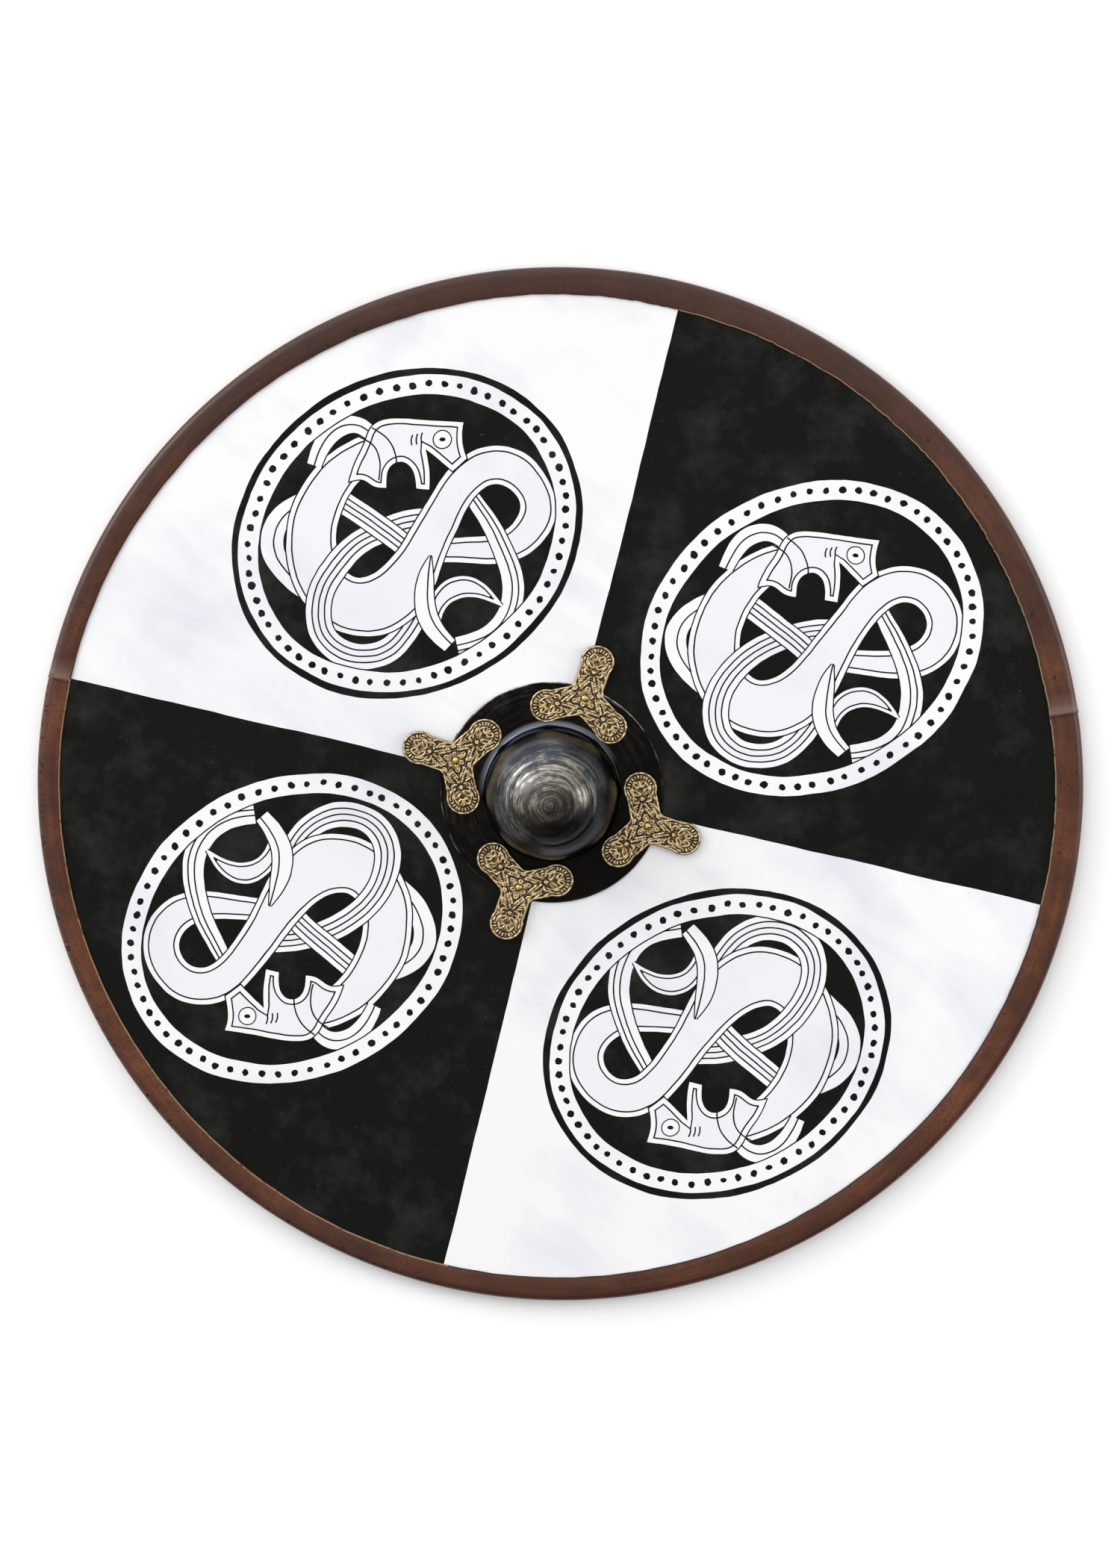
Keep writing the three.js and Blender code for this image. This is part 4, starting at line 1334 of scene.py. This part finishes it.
def cast_mount():
    """One mount at the origin: a plate with round strands laid on it, melted into one cast surface."""
    mounts = settings("mounts")
    low = MOUNT_FOOT
    outline = trefoil(0.2)
    sunk = MM  # the plate starts lower, and its rounded underside is cut off at the end
    corners = [(x * MM, y * MM, low - sunk) for x, y in outline]
    plate = new_mesh("plate", corners, faces=[tuple(range(len(outline)))])
    upwards = {"value": (0, 0, mounts.plate + sunk)}
    in_edit_mode(
        plate,
        lambda: bpy.ops.mesh.extrude_region_move(TRANSFORM_OT_translate=upwards),
        lambda: bpy.ops.mesh.select_all(action="SELECT"),
        lambda: bpy.ops.mesh.normals_make_consistent(inside=False),
    )
    wires = bpy.data.curves.new("strands", "CURVE")
    wires.dimensions = "3D"
    wires.bevel_depth = mounts.strand
    wires.bevel_resolution = 2
    wires.use_fill_caps = True
    rim = even(trefoil(0.8), 0.8)
    strands = [np.vstack([rim, rim[:2]]), *twisted_border()]
    for arm in ARMS:
        strands += [turned(points, arm) for points in arm_strands()]
        strands += [turned(points, arm + 60) for points in armpit_strands()]
    low_strands = fillers(strands)
    for number, points in enumerate(strands + low_strands):
        spline = wires.splines.new("POLY")
        spline.points.add(len(points) - 1)
        flat = points.shape[1] == 2
        for point, place_at in zip(spline.points, points):
            x, y = place_at[:2]
            # strands rise and dip by 0.2 mm, as if they wove over and under
            lift = 0.22 * math.sin(x * 0.9) * math.cos(y * 0.9) if flat else place_at[2]
            point.co = (x * MM, y * MM, low + mounts.plate + (lift - 0.15) * MM, 1)
            # shares of a strand's radius: drawn strands, fillers and the twisted border
            point.radius = (0.92 if number < len(strands) else 0.68) if flat else 0.74
    web = bpy.data.objects.new("strands", wires)
    bpy.context.scene.collection.objects.link(web)
    select_only(web)
    bpy.ops.object.convert(target="MESH")
    mount = join([plate, bpy.context.object])
    apply_modifier(mount, "REMESH", mode="VOXEL", voxel_size=mounts.voxel, use_smooth_shade=True)
    apply_modifier(mount, "SMOOTH", factor=0.5, iterations=1)
    bpy.ops.object.select_all(action="DESELECT")
    bpy.ops.mesh.primitive_cube_add(size=0.2, location=(0, 0, low - 0.1))
    cut(mount, bpy.context.object)
    mount.data.polygons.foreach_set("use_smooth", [True] * len(mount.data.polygons))
    return mount


class SHIELD_OT_mount_nails(ShieldPiece, bpy.types.Operator):
    """Make the domed nails in the middle of the mounts"""

    bl_idname = "shield.mount_nails"
    bl_label = "Mount Nails"

    def execute(self, context):
        finish = polished_brass()
        low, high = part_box(MOUNT_NAILS[0])
        head = (high[1] - low[1]) / 2
        shank = head / 2
        tall = high[2]
        foot = tall - 1.8 * MM
        peen = head * 0.87
        peen_top = low[2] + 0.8 * MM
        edge = foot + 0.3 * MM
        profile = [(0, tall)]
        for k in range(1, 8):
            around = math.radians(90 * k / 7)
            profile.append((head * math.sin(around), edge + (tall - edge) * math.cos(around)))
        profile += [(head, foot), (shank, foot), (shank, peen_top)]
        profile += [(peen, peen_top), (peen * 0.8, low[2]), (0, low[2])]
        for name in MOUNT_NAILS:
            x, y = node_middle(name)
            nail = spun(name, profile, 28, (x, y, 0))
            smooth(nail, 40)
            place(nail, f"brass_{name}", [name], [finish])
        return {"FINISHED"}


class SHIELD_OT_grip(ShieldPiece, bpy.types.Operator):
    """Soften the wooden grip behind the boss"""

    bl_idname = "shield.grip"
    bl_label = "Grip"

    def execute(self, context):
        grip = bpy.data.objects.new("wooden_grip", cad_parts["grip"].data.copy())
        grip.data.materials.clear()
        context.scene.collection.objects.link(grip)
        clean(grip)
        in_edit_mode(grip, lambda: bpy.ops.mesh.dissolve_limited(angle_limit=math.radians(3)))
        edge_round = settings("wood").edge_round / 2
        apply_modifier(
            grip, "BEVEL", width=edge_round, segments=3, limit_method="ANGLE", angle_limit=math.radians(32)
        )
        smooth(grip, 45)
        place(grip, "wooden_grip", ["grip"], [planed_wood("oiled_ash", 0)])
        return {"FINISHED"}


class SHIELD_OT_iron(ShieldPiece, bpy.types.Operator):
    """Give the roves and the grip's nails their forged finish"""

    bl_idname = "shield.iron"
    bl_label = "Iron Fastenings"

    def execute(self, context):
        finish = forged_iron()
        for name in ROVES + GRIP_NAILS:
            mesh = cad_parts[name].data
            mesh.materials.clear()
            mesh.materials.append(finish)
        return {"FINISHED"}


SKY_SIDE = (-0.42, 0.76, 0.5)  # the studio's white walls and ceiling are brightest in this direction


class SHIELD_OT_stage(ShieldPiece, bpy.types.Operator):
    """Lay the pale floor, set the soft studio light and place the camera"""

    bl_idname = "shield.stage"
    bl_label = "Stage"

    def execute(self, context):
        stage = settings("stage")
        bpy.ops.object.select_all(action="DESELECT")
        bpy.ops.mesh.primitive_plane_add(size=12, location=(0, 0, 0))
        floor = context.object
        floor.name = "floor"
        floor.data.materials.append(floor_paint())
        soft_light("key", (-2.3, 1.3, 1.1), 1.4, 35)
        soft_light("fill", (2.5, 0.2, 1.1), 1.2, 29)
        world = bpy.data.worlds.new("studio")
        world.use_nodes = True
        sky = world.node_tree
        direction = node(sky, "TexCoord", out="Generated")
        upward = node(sky, "VectorMath", {0: direction, 1: SKY_SIDE}, out="Value", operation="DOT_PRODUCT")
        level = node(sky, "MapRange", {"Value": upward, "From Min": -1})
        curved = node(sky, "Math", {0: level, 1: 2.1}, operation="POWER")
        # the wall behind the floor is plain and pale, though it lights the shield less from some sides
        seen = node(sky, "LightPath", out="Is Camera Ray")
        shade = node(sky, "Mix", {FACTOR: seen, FIRST: curved, SECOND: srgb("#e4e4e4")}, **COLOURS)
        connect(sky.nodes["Background"], {"Color": shade, "Strength": 1.76})
        context.scene.world = world
        context.scene.view_settings.view_transform = "Standard"
        aim_camera(context.scene, stage)
        return {"FINISHED"}


def soft_light(name, place_at, size, power):
    """A square studio light that faces the shield."""
    light = bpy.data.lights.new(name, "AREA")
    light.shape = "SQUARE"
    light.size = size
    light.energy = power
    lamp = bpy.data.objects.new(name, light)
    lamp.location = place_at
    lamp.rotation_euler = (-Vector(place_at)).to_track_quat("-Z", "Y").to_euler()
    bpy.context.scene.collection.objects.link(lamp)


def aim_camera(scene, stage):
    """Look down on the shield with the top of the painting up in the picture."""
    across = math.cos(stage.side)
    back = Vector((math.sin(stage.side), math.sin(stage.tilt) * across, math.cos(stage.tilt) * across))
    right = Vector((0, 1, 0)).cross(back).normalized()
    up = back.cross(right)
    camera = bpy.data.objects.new("camera", bpy.data.cameras.new("camera"))
    camera.data.sensor_fit = "HORIZONTAL"
    camera.data.sensor_width = 36
    camera.data.lens = stage.focal
    camera.data.clip_end = 50
    aim = Vector((stage.aim_x, stage.aim_y, BOARD_HIGH[2]))
    basis = Matrix((right, up, back)).transposed().to_4x4()
    camera.matrix_world = Matrix.Translation(aim + back * stage.distance) @ basis
    scene.collection.objects.link(camera)
    scene.camera = camera


OPERATORS = [
    SHIELD_OT_stage,
    SHIELD_OT_board,
    SHIELD_OT_rim,
    SHIELD_OT_boss,
    SHIELD_OT_mounts,
    SHIELD_OT_mount_nails,
    SHIELD_OT_grip,
    SHIELD_OT_iron,
]


class SHIELD_PT_panel(bpy.types.Panel):
    """The shield's settings and its pieces"""

    bl_idname = "SHIELD_PT_panel"
    bl_label = "Round Shield"
    bl_space_type = "VIEW_3D"
    bl_region_type = "UI"
    bl_category = "Shield"

    def draw(self, context):
        for name, group in SETTINGS.items():
            box = self.layout.box()
            box.label(text=name.title())
            for prop in group.__annotations__:
                box.prop(settings(name), prop)
        for operator in OPERATORS:
            self.layout.operator(operator.bl_idname)


CLASSES = [*SETTINGS.values(), *OPERATORS, SHIELD_PT_panel]


def register():
    for entry in CLASSES:
        bpy.utils.register_class(entry)
    for name, group in SETTINGS.items():
        setattr(bpy.types.Scene, f"shield_{name}", PointerProperty(type=group))


def unregister():
    for name in SETTINGS:
        delattr(bpy.types.Scene, f"shield_{name}")
    for entry in reversed(CLASSES):
        bpy.utils.unregister_class(entry)


def main():
    register()
    for operator in OPERATORS:
        group, name = operator.bl_idname.split(".")
        getattr(getattr(bpy.ops, group), name)()
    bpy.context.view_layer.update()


if __name__ == "__main__":
    main()
